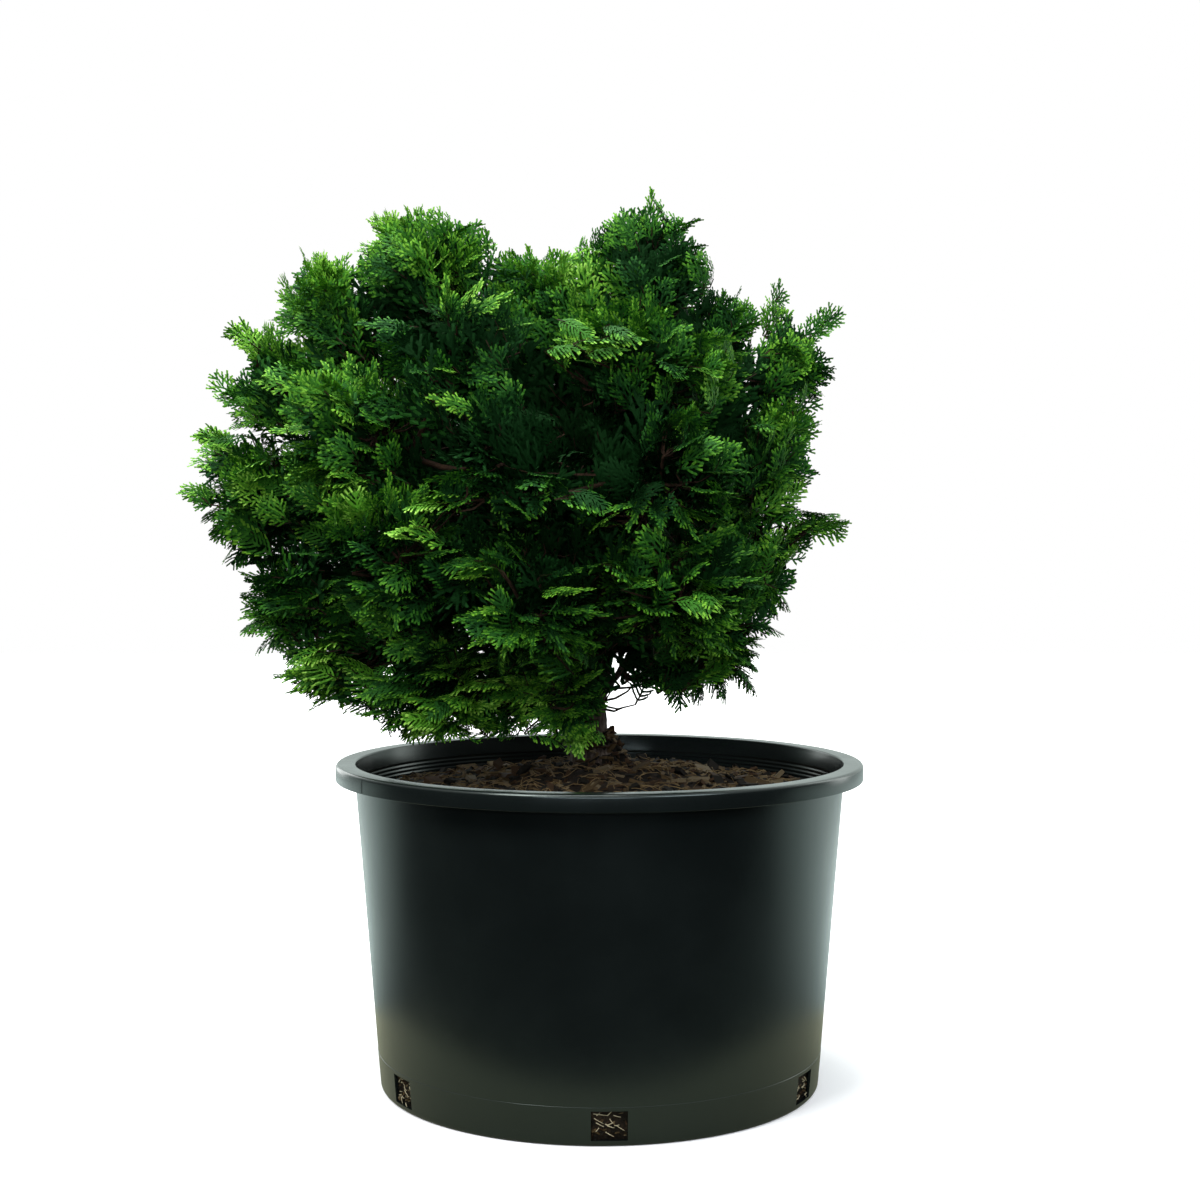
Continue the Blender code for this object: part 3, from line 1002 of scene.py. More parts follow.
@dataclass
class SprayNursery:
    """Builds each spray form once as a mesh that the crown repeats."""

    leaves: GrowthRule

    def scale_leaf(self) -> bpy.types.Object:
        """Make one blunt folded scale leaf of two faces, of unit size, that the skeleton sizes.

        Returns:
            The leaf.
        """
        points = [(-0.30, 0.0, 0.0), (0.42, 0.16, -0.15), (0.30, 1.0, 0.0), (-0.44, 0.86, -0.15)]
        mesh = mesh_from("scale_leaf", points, [(0, 1, 2), (0, 2, 3)])
        return link_new("scale_leaf", mesh)

    def build(self) -> bpy.types.Collection:
        """Grow every form.

        Returns:
            The collection of forms, in the order of their numbers.
        """
        group = bpy.data.collections.new("spray_forms")
        leaf = self.scale_leaf()
        for number, form in enumerate(SPRAY_FORMS):
            parts = form.skeleton()
            mesh = mesh_from("skeleton", [tuple(p) for p, _, _, _ in parts], [])
            put_values(mesh, "turn", "QUATERNION", [tuple(q) for _, q, _, _ in parts])
            put_values(mesh, "size", "FLOAT_VECTOR", [tuple(s) for _, _, s, _ in parts])
            put_values(mesh, "tone", "FLOAT", [float(t) for _, _, _, t in parts])
            source = link_new("skeleton", mesh)
            spray = self.leaves.grow(source, f"spray_{number:02d}", {"Scale Leaf": leaf})
            bpy.context.scene.collection.objects.unlink(spray)
            group.objects.link(spray)
            LOG.info("%s, %s: %d faces", spray.name, form.habit.value, len(spray.data.polygons))
        bpy.data.objects.remove(leaf, do_unlink=True)
        return group


# Crown


TIP_SPREAD = 0.93  # How far out a tip stands, where 1 is on the mass's ellipsoid.
TIP_SPACING = 0.012
BEYOND = 0.4  # How far out a ray towards a mass starts, which is outside every mass.
SKIN = 0.002  # How far outside the surface a point still counts as held.


@dataclass
class Bud:
    """One spray to be grown: where it starts, how it lies, its form, size and shade."""

    place: Vector
    turn: Quaternion
    form: int
    size: float
    shade: int


@dataclass
class FoliageMass:
    """One mass of the crown, with the surface its sprays grow out to."""

    name: str
    index: int
    surface: BVHTree
    centre: Vector
    half: Vector
    points: list[Vector]
    faces: list[tuple[int, ...]]

    @classmethod
    def of_node(cls, name: str, index: int) -> FoliageMass:
        """Read the mass from its CAD node.

        Args:
            name: The node's name.
            index: The mass's number, which seeds its random draws.

        Returns:
            The mass.
        """
        mesh = frame["nodes"][name].data
        points = [v.co.copy() for v in mesh.vertices]
        faces = [tuple(p.vertices) for p in mesh.polygons]
        low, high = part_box(name)
        tree = BVHTree.FromPolygons(points, faces)
        return cls(name, index, tree, (low + high) / 2, (high - low) / 2, points, faces)

    def edge(self, direction: Vector) -> Vector:
        """Return the outermost point of the mass in a direction from its centre."""
        hit = self.surface.ray_cast(self.centre + direction * BEYOND, -direction)[0]
        return self.centre + direction * 0.03 if hit is None else hit

    def holds(self, point: Vector) -> bool:
        """Return whether a point isn't outside the mass."""
        near, normal, _, _ = self.surface.find_nearest(point)
        return (point - near).dot(normal) < SKIN

    def spread(self, spacing: float, seed: int) -> list[tuple[Vector, Vector]]:
        """Pick points over the surface at least this far apart, each with the way out of the mass.

        Args:
            spacing: The least distance between two points.
            seed: The seed of the picking.

        Returns:
            Point and outward normal of each pick.
        """
        source = np.random.default_rng(seed)
        corners = np.asarray([[self.points[i] for i in f[:3]] for f in self.faces], dtype=float)
        one, two = corners[:, 1] - corners[:, 0], corners[:, 2] - corners[:, 0]
        normals = np.cross(one, two)
        areas = np.linalg.norm(normals, axis=1) / 2
        tries = int(areas.sum() / spacing**2 * 14)
        picks = source.choice(len(areas), size=tries, p=areas / areas.sum())
        u, v = source.random(tries), source.random(tries)
        flip = u + v > 1
        u[flip], v[flip] = 1 - u[flip], 1 - v[flip]
        places = corners[picks, 0] + one[picks] * u[:, None] + two[picks] * v[:, None]
        kept: list[int] = []
        for i in range(tries):
            near = places[kept] - places[i]
            if not kept or (near * near).sum(axis=1).min() > spacing**2:
                kept.append(i)
        return [
            (Vector(places[i]), Vector(normals[picks[i]]).normalized()) for i in kept
        ]

    def tips(self) -> list[Vector]:
        """Pick the points that stand far out of the mass, each well apart from the others.

        Returns:
            The points.
        """
        found: list[Vector] = []
        for point in self.points:
            offset = point - self.centre
            spread = math.sqrt(sum((o / h) ** 2 for o, h in zip(offset, self.half)))
            far = spread > TIP_SPREAD
            if far and all((point - other).length > TIP_SPACING for other in found):
                found.append(point)
        return found


@dataclass(frozen=True)
class Patch:
    """A patch of crown front that lies back in painted shade, or stands out in painted light.

    Its place is where it shows on the plane through the trunk when seen from the front.
    """

    across: float
    up: float
    radius: float

    def weight(self, across: float, up: float) -> float:
        """Return how much a place belongs to the patch, from 0 to 1."""
        away = ((across - self.across) ** 2 + (up - self.up) ** 2) / self.radius**2
        return math.exp(-away * away)


@dataclass(frozen=True)
class PaintedLightAndToneWeights:
    """Steps of painted light and shade by a spray's place, and the spread of its random tone."""

    # Height, ridges, low places, the left and upward growth give painted light; hollows, the upper
    # right, cover and depth give painted shade; drifts and chance give random tone.
    start: float = 2.25
    height: float = 0.95
    ridge_painted_light: float = 0.8
    low: float = 0.5
    hollow: float = 2.6
    right: float = 0.8
    left: float = 0.55
    upward: float = 0.6
    covered: float = 0.6
    depth: float = 2.9
    drifts: float = 1.15
    chance: float = 0.25


@dataclass(frozen=True)
class WayWeights:
    """How much each pull counts for the way a spray grows."""

    from_trunk: float = 0.80
    from_mass: float = 0.16
    up: float = 0.14
    droop: float = 0.34
    wander: float = 0.80
    chance: float = 0.12


def patches(*rows: tuple[float, float, float]) -> tuple[Patch, ...]:
    """Return a patch for each row of place across, place up and radius."""
    return tuple(Patch(*row) for row in rows)


# Patches that lie back: their sprays sit deeper and are painted darker, as painted shade.
HOLLOWS = patches(
    (-0.161, 0.627, 0.036), (-0.178, 0.640, 0.026), (-0.099, 0.625, 0.022), (-0.066, 0.592, 0.024),
    (0.040, 0.687, 0.024), (-0.132, 0.526, 0.036), (-0.062, 0.530, 0.046), (0.013, 0.520, 0.050),
    (-0.033, 0.443, 0.032), (-0.058, 0.402, 0.022), (-0.082, 0.484, 0.026), (-0.115, 0.464, 0.018),
    (0.083, 0.640, 0.022), (-0.033, 0.560, 0.032), (0.050, 0.500, 0.036), (0.070, 0.470, 0.024),
    (0.108, 0.545, 0.016), (-0.248, 0.534, 0.016), (-0.228, 0.428, 0.024), (-0.288, 0.440, 0.018),
    (-0.146, 0.395, 0.018), (0.108, 0.426, 0.018), (0.030, 0.350, 0.022),
)
# Ridges that stand out: their sprays sit forward, get tufts and are painted lighter, as painted
# light.
RIDGES_PAINTED_LIGHT = patches(
    (-0.012, 0.608, 0.015), (0.017, 0.598, 0.015), (0.036, 0.612, 0.015), (0.067, 0.579, 0.022),
    (0.100, 0.584, 0.020), (-0.165, 0.472, 0.018), (-0.163, 0.446, 0.016), (-0.024, 0.478, 0.024),
    (0.004, 0.470, 0.018), (-0.107, 0.416, 0.018), (0.062, 0.384, 0.026), (0.092, 0.388, 0.020),
    (0.042, 0.402, 0.015), (-0.115, 0.319, 0.034), (-0.148, 0.298, 0.028), (-0.082, 0.319, 0.028),
    (-0.020, 0.273, 0.022), (0.158, 0.592, 0.028), (0.158, 0.493, 0.028), (0.155, 0.540, 0.024),
    (0.155, 0.440, 0.024), (0.100, 0.352, 0.028), (-0.225, 0.490, 0.020), (-0.288, 0.490, 0.022),
    (-0.240, 0.342, 0.028),
)
OPEN_SKY = patches(
    (-0.300, 0.590, 0.014), (0.170, 0.628, 0.013), (0.186, 0.640, 0.011), (0.131, 0.606, 0.011),
    (0.178, 0.520, 0.011), (0.180, 0.490, 0.010), (0.182, 0.424, 0.018), (0.018, 0.306, 0.020),
    (0.036, 0.300, 0.018), (0.006, 0.296, 0.010), (0.080, 0.697, 0.010), (-0.126, 0.716, 0.012),
    (-0.170, 0.340, 0.008), (-0.307, 0.402, 0.010),
)
EDGE_TIPS = (
    (-0.186, 0.712), (-0.181, 0.704), (-0.234, 0.672), (-0.222, 0.668), (-0.302, 0.6165),
    (-0.286, 0.613), (-0.339, 0.534), (-0.330, 0.529), (-0.333, 0.508), (-0.326, 0.457),
    (-0.318, 0.442), (-0.308, 0.424), (-0.292, 0.432), (-0.276, 0.437), (-0.296, 0.367),
    (-0.278, 0.351), (-0.174, 0.279), (-0.160, 0.276), (-0.078, 0.278), (-0.058, 0.285),
    (0.067, 0.301), (0.084, 0.304), (0.104, 0.309), (0.129, 0.316), (0.132, 0.334), (0.146, 0.368),
    (0.153, 0.384), (0.150, 0.376), (0.187, 0.461), (0.200, 0.456), (0.207, 0.4535), (0.176, 0.541),
    (0.191, 0.576), (0.201, 0.634), (0.096, 0.651), (0.122, 0.637), (0.143, 0.640), (0.010, 0.706),
    (-0.027, 0.672), (-0.022, 0.676), (-0.036, 0.668), (-0.081, 0.672), (-0.304, 0.537),
    (-0.290, 0.533), (-0.276, 0.621), (-0.266, 0.610), (0.089, 0.659), (0.015, 0.712),
    (0.140, 0.377), (0.127, 0.363), (-0.186, 0.294), (-0.234, 0.678), (-0.092, 0.281),
    (-0.321, 0.488), (0.129, 0.632), (-0.080, 0.678), (0.178, 0.519), (-0.328, 0.518),
    (0.164, 0.468), (0.112, 0.324), (-0.306, 0.434), (-0.304, 0.582), (0.128, 0.344),
    (-0.179, 0.713), (-0.029, 0.679),
)
FILLERS = (
    (0.120, 0.562), (0.122, 0.550), (0.117, 0.575), (0.112, 0.556), (0.108, 0.566), (0.115, 0.545),
    (0.125, 0.570), (0.106, 0.577), (0.104, 0.548), (0.112, 0.584), (-0.272, 0.431),
    (-0.254, 0.436), (-0.286, 0.428), (-0.264, 0.425), (-0.240, 0.430), (-0.100, 0.346),
    (-0.086, 0.352), (-0.120, 0.352), (-0.250, 0.422), (-0.112, 0.360), (-0.104, 0.366),
    (-0.078, 0.338), (-0.068, 0.346), (-0.060, 0.334), (-0.095, 0.436), (-0.102, 0.444),
    (-0.060, 0.446), (-0.070, 0.440), (-0.178, 0.636), (-0.170, 0.628), (-0.182, 0.622),
    (-0.175, 0.612), (-0.010, 0.656), (-0.004, 0.645), (-0.008, 0.666), (-0.051, 0.5985),
    (-0.031, 0.570), (-0.185, 0.644), (-0.173, 0.643), (-0.164, 0.634), (-0.190, 0.630),
    (-0.180, 0.650), (-0.168, 0.618), (-0.160, 0.562), (-0.154, 0.570), (-0.165, 0.553),
)
BARE_TWIGS = (
    ((0.001, 0.0, 0.3180), (0.015, -0.004, 0.3205), (0.029, -0.008, 0.3220), (0.042, -0.008, 0.3270),
     (0.050, -0.010, 0.3330)),
    ((0.001, 0.0, 0.3095), (0.013, -0.006, 0.3125), (0.023, -0.010, 0.3185), (0.031, -0.012, 0.3280)),
    ((0.002, 0.0, 0.3035), (0.012, -0.008, 0.3020), (0.021, -0.012, 0.3060)),
)


@dataclass
class Crown:
    """The foliage: twigs that grow on from the limbs, and sprays along and at the ends of them."""

    sprays: GrowthRule
    stems: GrowthRule
    forms: bpy.types.Collection
    spacing: float = 0.0160
    cover: float = 0.012
    covered_share: float = 0.36
    hollow_depth: float = 0.030
    patch_depth: float = 0.020
    deep_share: float = 0.85
    deep_behind: tuple[float, float] = (0.015, 0.030)
    heart_sprays: int = 16
    heart_share: float = 0.62
    high_limbs: tuple[float, float] = (0.40, 0.60)
    low_limbs: tuple[float, float] = (0.335, 0.40)
    low_limbs_across: tuple[float, float] = (-0.16, -0.03)
    limb_reach: float = 0.040
    limb_cover: float = 0.3
    filler_depths: tuple[float, ...] = (-0.035, 0.0, 0.035)
    filler_reach: float = 0.008
    middle_height: float = 0.47
    edge_sprays: int = 3
    ridge_tuft_sprays: int = 2
    shelf_pitch: float = 0.032
    twig_radius: float = 0.0021
    stalk_radius: float = 0.0008
    bare_twig: tuple[float, float] = (0.0013, 0.0006)
    forks: int = 9
    fork_turn: float = 2.4
    sight: float = 1.497
    eye_height: float = 0.4355
    noise_seed: int = 5
    light: PaintedLightAndToneWeights = PaintedLightAndToneWeights()
    pull: WayWeights = WayWeights()
    masses: list[FoliageMass] = field(default_factory=list)
    limb_points: list[Vector] = field(default_factory=list)
    limb_tree: KDTree | None = None
    inner: dict[int, list[tuple[Vector, float]]] = field(default_factory=dict)
    edges: dict[int, list[Vector]] = field(default_factory=dict)
    ridge_painted_light: dict[int, list[Vector]] = field(default_factory=dict)
    whole: BVHTree | None = None

    def read(self) -> None:
        """Read the masses and the limbs from the frame, and share out the places for sprays."""
        noise.seed_set(self.noise_seed)  # Unless it is set, noise_vector differs from run to run.
        limbs = [n for n in frame["nodes"] if n == "trunk" or n.startswith("bough_")]
        names = sorted(set(frame["nodes"]) - {"pot", "potting_mix", *limbs})
        self.masses = [FoliageMass.of_node(name, i) for i, name in enumerate(names)]
        points: list[Vector] = []
        faces: list[tuple[int, ...]] = []
        for mass in self.masses:
            first = len(points)
            points += mass.points
            faces += [tuple(i + first for i in f) for f in mass.faces]
        self.whole = BVHTree.FromPolygons(points, faces)
        for name in limbs:
            self.limb_points += [v.co.copy() for v in frame["nodes"][name].data.vertices]
        self.limb_tree = KDTree(len(self.limb_points))
        for i, point in enumerate(self.limb_points):
            self.limb_tree.insert(point, i)
        self.limb_tree.balance()
        self.share_limbs()
        self.share_outline()

    def share_limbs(self) -> None:
        """Give each mass the limb points that it covers, and the fillers nearest to it."""
        for point in self.limb_points:
            high = self.high_limbs[0] < point.z < self.high_limbs[1]
            low = self.low_limbs[0] < point.z <= self.low_limbs[1]
            if high or (low and self.low_limbs_across[0] < point.x < self.low_limbs_across[1]):
                near = min(self.masses, key=lambda mass: (mass.centre - point).length)
                self.inner.setdefault(near.index, []).append((point, self.limb_reach))
        for across, up in FILLERS:
            for y in self.filler_depths:
                point = self.seen_at(across, up, y)
                near = self.nearest(point)
                self.inner.setdefault(near.index, []).append((point, self.filler_reach))

    def share_outline(self) -> None:
        """Give each mass its outline tips, and the tuft spots on the ridges with painted light."""
        for across, up in EDGE_TIPS:
            near = self.nearest(Vector((across, 0.0, up)))
            tip = self.seen_at(across, up, 0.7 * near.centre.y)
            self.edges.setdefault(near.index, []).append(tip)
        eye = self.seen_at(0.0, self.eye_height, -self.sight)
        for patch in RIDGES_PAINTED_LIGHT:
            ahead = (Vector((patch.across, 0.0, patch.up)) - eye).normalized()
            hit = self.whole.ray_cast(eye, ahead)[0]
            if hit is not None:
                self.ridge_painted_light.setdefault(self.nearest(hit).index, []).append(hit - ahead * 0.004)

    def nearest(self, point: Vector) -> FoliageMass:
        """Return the mass whose surface is nearest to a point."""
        return min(self.masses, key=lambda mass: mass.surface.find_nearest(point)[3])

    def seen_at(self, across: float, up: float, y: float) -> Vector:
        """Return the place at this depth that shows where (across, up) lies on the trunk's plane."""
        far = (self.sight + y) / self.sight
        return Vector((across * far, y, self.eye_height + (up - self.eye_height) * far))

    def height_share(self, point: Vector) -> float:
        """Return how far up the crown's upper part a point lies, from 0 to 1."""
        return clamp((point.z - 0.42) / 0.20)

    def covered(self, point: Vector, way: Vector, depth: float) -> bool:
        """Return whether more of the crown lies within this depth outside the point."""
        return self.whole.ray_cast(point + way * 0.001, way, depth)[0] is not None

    def patch(self, point: Vector, patches: tuple[Patch, ...], back: float = 0.03) -> float:
        """Find how much a place belongs to one of the patches, as the eye sees it.

        Args:
            point: The place.
            patches: The patches.
            back: How far back they reach.

        Returns:
            Its share, from 0 to 1.
        """
        if point.y > back:
            return 0.0
        near = self.sight / (self.sight + point.y)
        up = self.eye_height + (point.z - self.eye_height) * near
        return max(patch.weight(point.x * near, up) for patch in patches)

    def hollow(self, point: Vector) -> float:
        """Find how far a place lies in the hollows between shelves of foliage.

        Args:
            point: The place.

        Returns:
            Its share, from 0 to 1.
        """
        warp = noise.noise(Vector((point.x, point.y, 3.0)) * 14.0)
        level = point.z / self.shelf_pitch + 1.1 * warp + 0.5 * noise.noise(point * 30.0)
        between = (0.5 - 0.5 * math.cos(2.0 * math.pi * level)) ** 1.4
        pit = clamp(0.5 - 1.9 * noise.noise(point * 27.0 + Vector((5.0, 0.0, 0.0))))
        high = self.height_share(point)
        deep = between * (0.62 - 0.30 * high) + pit * (0.38 + 0.30 * high)
        deep = max(deep, self.patch(point, HOLLOWS))
        return deep * (1.0 - self.patch(point, RIDGES_PAINTED_LIGHT))

    def growth_way(self, mass: FoliageMass, point: Vector, chance: random.Random) -> Vector:
        """Pick the way a spray grows that ends at a point: away from trunk and mass centre.

        Args:
            mass: The mass.
            point: Where the spray ends.
            chance: The random source.

        Returns:
            The way.
        """
        origin = Vector((0.012, 0.0, 0.27 + 0.52 * max(0.0, point.z - 0.27)))
        away = (point - origin).normalized()
        local = (point - mass.centre).normalized()
        low = clamp((0.40 - point.z) / 0.12)
        pull = self.pull
        way = away * pull.from_trunk + local * pull.from_mass + UP * (pull.up - pull.droop * low)
        way += noise.noise_vector(point * 29.0) * pull.wander
        way += drift(chance, pull.chance)
        return way.normalized()

    def facing(self, way: Vector, point: Vector, chance: random.Random) -> Vector:
        """Pick the way a spray's upper face looks: up if it lies flat, outwards if it stands.

        Args:
            way: The way it grows.
            point: Where it ends.
            chance: The random source.

        Returns:
            The way, not of unit length.
        """
        steep = max(0.0, way.z)
        out = Vector((point.x * (1.0 - 0.7 * steep), point.y - 0.03 * steep, 0.0)).normalized()
        face = UP * (1.0 - 0.75 * steep) + out * (0.15 + 1.1 * steep)
        side = way.cross(UP)
        if side.length > 1e-3:
            side.normalize()
        high = self.height_share(point)
        left = clamp(-point.x / 0.20)
        loose = 0.5 + 1.7 * high + 0.9 * left
        roll = noise.noise(point * 16.0 + Vector((0.0, 9.0, 0.0))) * loose
        return face + side * (roll + chance.gauss(0.0, 0.38))

    def shade(self, point: Vector, way: Vector, depth: float, chance: random.Random) -> int:
        """Pick the shade for a spray's place in the crown, as painted light and painted shade.

        It is painted lighter above, to the left, low down, on the ridges and where it grows
        upwards, and painted darker in hollows, at the upper right, under cover and deep inside,
        with some random tone on top.

        Args:
            point: Where the spray ends.
            way: The way it grows.
            depth: How deep inside the crown it stands, from 0 to 1.
            chance: The random source.

        Returns:
            The shade's number, to which each leaf adds its tone.
        """
        light = self.light
        # Painted light and shade: each step lightens or darkens the spray by where it lies or how it
        # grows, save the last two, which add random tone.
        level = light.start + light.height * (point.z - 0.30) / 0.43
        if depth < 1.0:
            level += light.ridge_painted_light * self.patch(point, RIDGES_PAINTED_LIGHT)
            level += light.low * clamp((0.375 - point.z) / 0.07)
        level -= light.hollow * self.patch(point, HOLLOWS)
        right = clamp(point.x / 0.08 + 0.6)
        level -= light.right * right * clamp((point.z - 0.44) / 0.12)
        level += light.left * max(0.0, -point.x / 0.28)
        level += light.upward * (way.z - 0.2)
        level -= light.covered if self.covered(point, UP, 0.06) else 0.0
        level -= light.depth * depth
        level += noise.noise(point * 31.0 + Vector((0.0, 0.0, 7.0))) * light.drifts
        level += chance.gauss(0.0, light.chance)
        return max(-2, min(len(LEAF_TONES_AND_PAINTED_LIGHT) - 3, round(level)))

    def form(self, mass: FoliageMass, point: Vector, depth: float, chance: random.Random) -> int:
        """Pick the spray form that suits a place: lax and combed below, shells and crests above.

        Args:
            mass: The mass.
            point: Where the spray ends.
            depth: How deep inside the crown it stands, from 0 to 1.
            chance: The random source.

        Returns:
            The form's number.
        """
        if depth >= 1.0:
            return chance.choice(DEEP_FORMS)
        if chance.random() < 0.9 - 5.0 * max(0.0, point.z - 0.40):
            return chance.choice(LOW_FORMS)
        if (point.z - mass.centre.z) > 0.4 * mass.half.z and chance.random() < 0.65:
            return chance.choice(TOP_FORMS)
        return chance.choice(MIXED_FORMS)

    def bud(
        self, tip: Vector, way: Vector, number: int, size: float, depth: float,
        chance: random.Random,
    ) -> Bud:
        """Turn a spray form so that the line from its base to its tip lies along the way.

        Args:
            tip: Where the spray ends.
            way: The way it grows.
            number: The number of its form.
            size: Its scale.
            depth: How deep inside the crown it stands, from 0 to 1.
            chance: The random source.

        Returns:
            The bud.
        """
        chord = SPRAY_FORMS[number].chord()
        raise_by = -math.atan2(chord.z, chord.y)
        turn = turn_to(way, self.facing(way, tip, chance))
        turn = turn @ Quaternion((1.0, 0.0, 0.0), raise_by)
        place = tip - way * chord.length * size
        return Bud(place, turn, number, size, self.shade(tip, way, depth, chance))

    def bud_at(self, mass: FoliageMass, tip: Vector, depth: float, chance: random.Random) -> Bud:
        """Plan the spray whose tip is at this point.

        Args:
            mass: The mass.
            tip: Where the spray ends.
            depth: How deep inside the crown it stands, from 0 to 1.
            chance: The random source.

        Returns:
            The bud.
        """
        way = self.growth_way(mass, tip, chance)
        number = self.form(mass, tip, depth, chance)
        size = chance.uniform(0.84, 1.14)
        return self.bud(tip, way, number, size, depth, chance)

    def surface_buds(self, mass: FoliageMass, chance: random.Random) -> list[Bud]:
        """Plan the sprays over a mass's surface, and some behind them.

        Args:
            mass: The mass.
            chance: Its random source.

        Returns:
            The buds.
        """
        buds = []
        for point, out in mass.spread(self.spacing, 50 + mass.index):
            if self.covered(point, out, self.cover):
                # A covered place gets a spray at depth 1, which is painted much darker: painted
                # shade.
                if chance.random() < self.covered_share:
                    buds.append(self.bud_at(mass, point, 1.0, chance))
                continue
            hollow = self.hollow(point)
            room = 0.35 + 0.65 * abs(out.y)
            sunk = self.hollow_depth * hollow * room + self.patch_depth * self.patch(point, HOLLOWS)
            tip = point - out * (sunk + chance.uniform(-0.001, 0.003))
            # A spray in a hollow is painted darker by its hollow share: painted shade.
            buds.append(self.bud_at(mass, tip, 0.75 * hollow, chance))
            # The spray behind it stands at depth 1 and is painted much darker: painted shade.
            if chance.random() < self.deep_share:
                deep = tip - out * chance.uniform(*self.deep_behind)
                if mass.holds(deep):
                    buds.append(self.bud_at(mass, deep, 1.0, chance))
        return buds

    def inner_buds(self, mass: FoliageMass, chance: random.Random) -> list[Bud]:
        """Plan the sprays in the heart of a mass, and those along its limbs and at its fillers.

        Args:
            mass: The mass.
            chance: Its random source.

        Returns:
            The buds.
        """
        buds = []
        # Every spray here stands at depth 1 and is painted much darker: painted shade.
        for _ in range(self.heart_sprays):
            share = chance.uniform(0.0, self.heart_share)
            way = drift(chance, 1.0).normalized()
            heart = mass.centre + (mass.edge(way) - mass.centre) * share
            buds.append(self.bud_at(mass, heart, 1.0, chance))
        for point, reach in self.inner.get(mass.index, []):
            way = drift(chance, 1.0).normalized()
            tip = point + way * reach * chance.uniform(0.3, 1.0)
            outward = Vector((math.copysign(1.0, tip.x - 0.01), 0.0, 0.0))
            hidden = all(self.covered(tip, way, self.limb_cover) for way in (outward, UP))
            if reach == self.filler_reach or hidden:
                buds.append(self.bud_at(mass, tip, 1.0, chance))
        return buds

    def outline_buds(self, mass: FoliageMass, chance: random.Random) -> list[Bud]:
        """Plan the long shoots at a mass's far tips, and the sprays that end on the outline.

        Args:
            mass: The mass.
            chance: Its random source.

        Returns:
            The buds.
        """
        buds = []
        for tip in mass.tips():
            way = (tip - mass.centre).normalized()
            if not self.covered(tip, way, 0.03) and self.patch(tip, HOLLOWS) < 0.4:
                level = Vector((way.x, way.y, way.z * 0.45)) if abs(way.z) < 0.8 else way
                size = chance.uniform(0.80, 1.0)
                buds.append(self.bud(tip, level.normalized(), LONG_SHOOT, size, 0.0, chance))
        for tip in self.edges.get(mass.index, []):
            away = (tip - UP * self.middle_height).normalized()
            away += (tip - mass.centre).normalized()
            for _ in range(self.edge_sprays):
                way = (away + drift(chance, 0.22)).normalized()
                place = tip + Vector((0.0, chance.gauss(0.0, 0.018), 0.0))
                place -= way * chance.uniform(0.0, 0.008)
                high = tip.z > self.middle_height
                number = chance.choice(HIGH_EDGE_FORMS if high else LOW_EDGE_FORMS)
                buds.append(self.bud(place, way, number, chance.uniform(0.85, 1.05), 0.1, chance))
        return buds

    def ridge_tuft_buds(self, mass: FoliageMass, chance: random.Random) -> list[Bud]:
        """Plan the tufts that stand out of a mass's front, painted lighter as painted light.

        Args:
            mass: The mass.
            chance: Its random source.

        Returns:
            The buds.
        """
        buds = []
        for spot in self.ridge_painted_light.get(mass.index, []):
            side = -1.0 if spot.x < -0.03 else 1.0
            for _ in range(self.ridge_tuft_sprays):
                shift = Vector(chance.gauss(0.0, spread) for spread in (0.008, 0.002, 0.004))
                way = Vector((side * 0.8, -0.5, -0.12)) + drift(chance, 0.2)
                number = chance.choice(TUFT_FORMS)
                buds.append(self.bud(spot + shift, way.normalized(), number, 0.9, 0.0, chance))
        return buds

    def plan(self, mass: FoliageMass) -> list[Bud]:
        """Plan every spray of a mass, leaving open the places where the sky shows through.

        Args:
            mass: The mass.

        Returns:
            The buds.
        """
        chance = random.Random(1000 + 17 * mass.index)
        buds = self.surface_buds(mass, chance) + self.inner_buds(mass, chance)
        buds += self.outline_buds(mass, chance) + self.ridge_tuft_buds(mass, chance)
        return [bud for bud in buds if not self.in_the_open(bud)]

    def in_the_open(self, bud: Bud) -> bool:
        """Test whether a spray would stand where the sky shows through.

        Args:
            bud: The spray.

        Returns:
            Whether any of three places along it would.
        """
        ahead = bud.turn @ SPRAY_FORMS[bud.form].chord() * bud.size
        places = [bud.place + ahead * share for share in (0.4, 0.7, 1.0)]
        return any(self.patch(place, OPEN_SKY, 0.3) > 0.5 for place in places)

    def twigs(
        self, mass: FoliageMass, buds: list[Bud], lines: StemLines, stalks: StemLines
    ) -> None:
        """Branch from the nearest limb to the mass's hub, on to its forks and out to every spray.

        Args:
            mass: The mass.
            buds: Its sprays.
            lines: The lines that the twigs are added to.
            stalks: The lines that the sprays' thin stalks are added to.
        """
        chance = random.Random(3000 + mass.index)
        hub = mass.centre - Vector((0.0, 0.0, 0.22 * mass.half.z))
        root = min(self.limb_points, key=lambda p: (p - hub).length)
        inward = (root - hub).normalized() * 0.004
        sag = Vector((0.0, 0.0, -0.14 * (root - hub).length))
        lines.add(arc(root + inward, hub, sag, 5), self.twig_radius * 1.25, self.twig_radius)
        forks = []
        for i in range(self.forks):
            height = 1.0 - (2.0 * i + 1.0) / self.forks
            ring = math.sqrt(1.0 - height * height)
            way = Vector((*around(ring, i * self.fork_turn + mass.index), height))
            fork = hub + (mass.edge(way) - mass.centre) * chance.uniform(0.30, 0.48)
            bow = Vector((0.0, 0.0, -0.004)) + drift(chance, 0.0015)
            lines.add(arc(hub, fork, bow, 3), self.twig_radius * 0.85, self.twig_radius * 0.55)
            forks.append(fork)
        for bud in buds:
            fork = min(forks, key=lambda f: (f - bud.place).length)
            limb, _, away = self.limb_tree.find(bud.place)
            if away < (fork - bud.place).length:
                fork = limb
            ahead = bud.turn @ Vector((0.0, 0.010, 0.0))
            line = arc(fork, bud.place, -ahead * 0.5 - UP * 0.002, 2)
            line.append(bud.place + ahead)
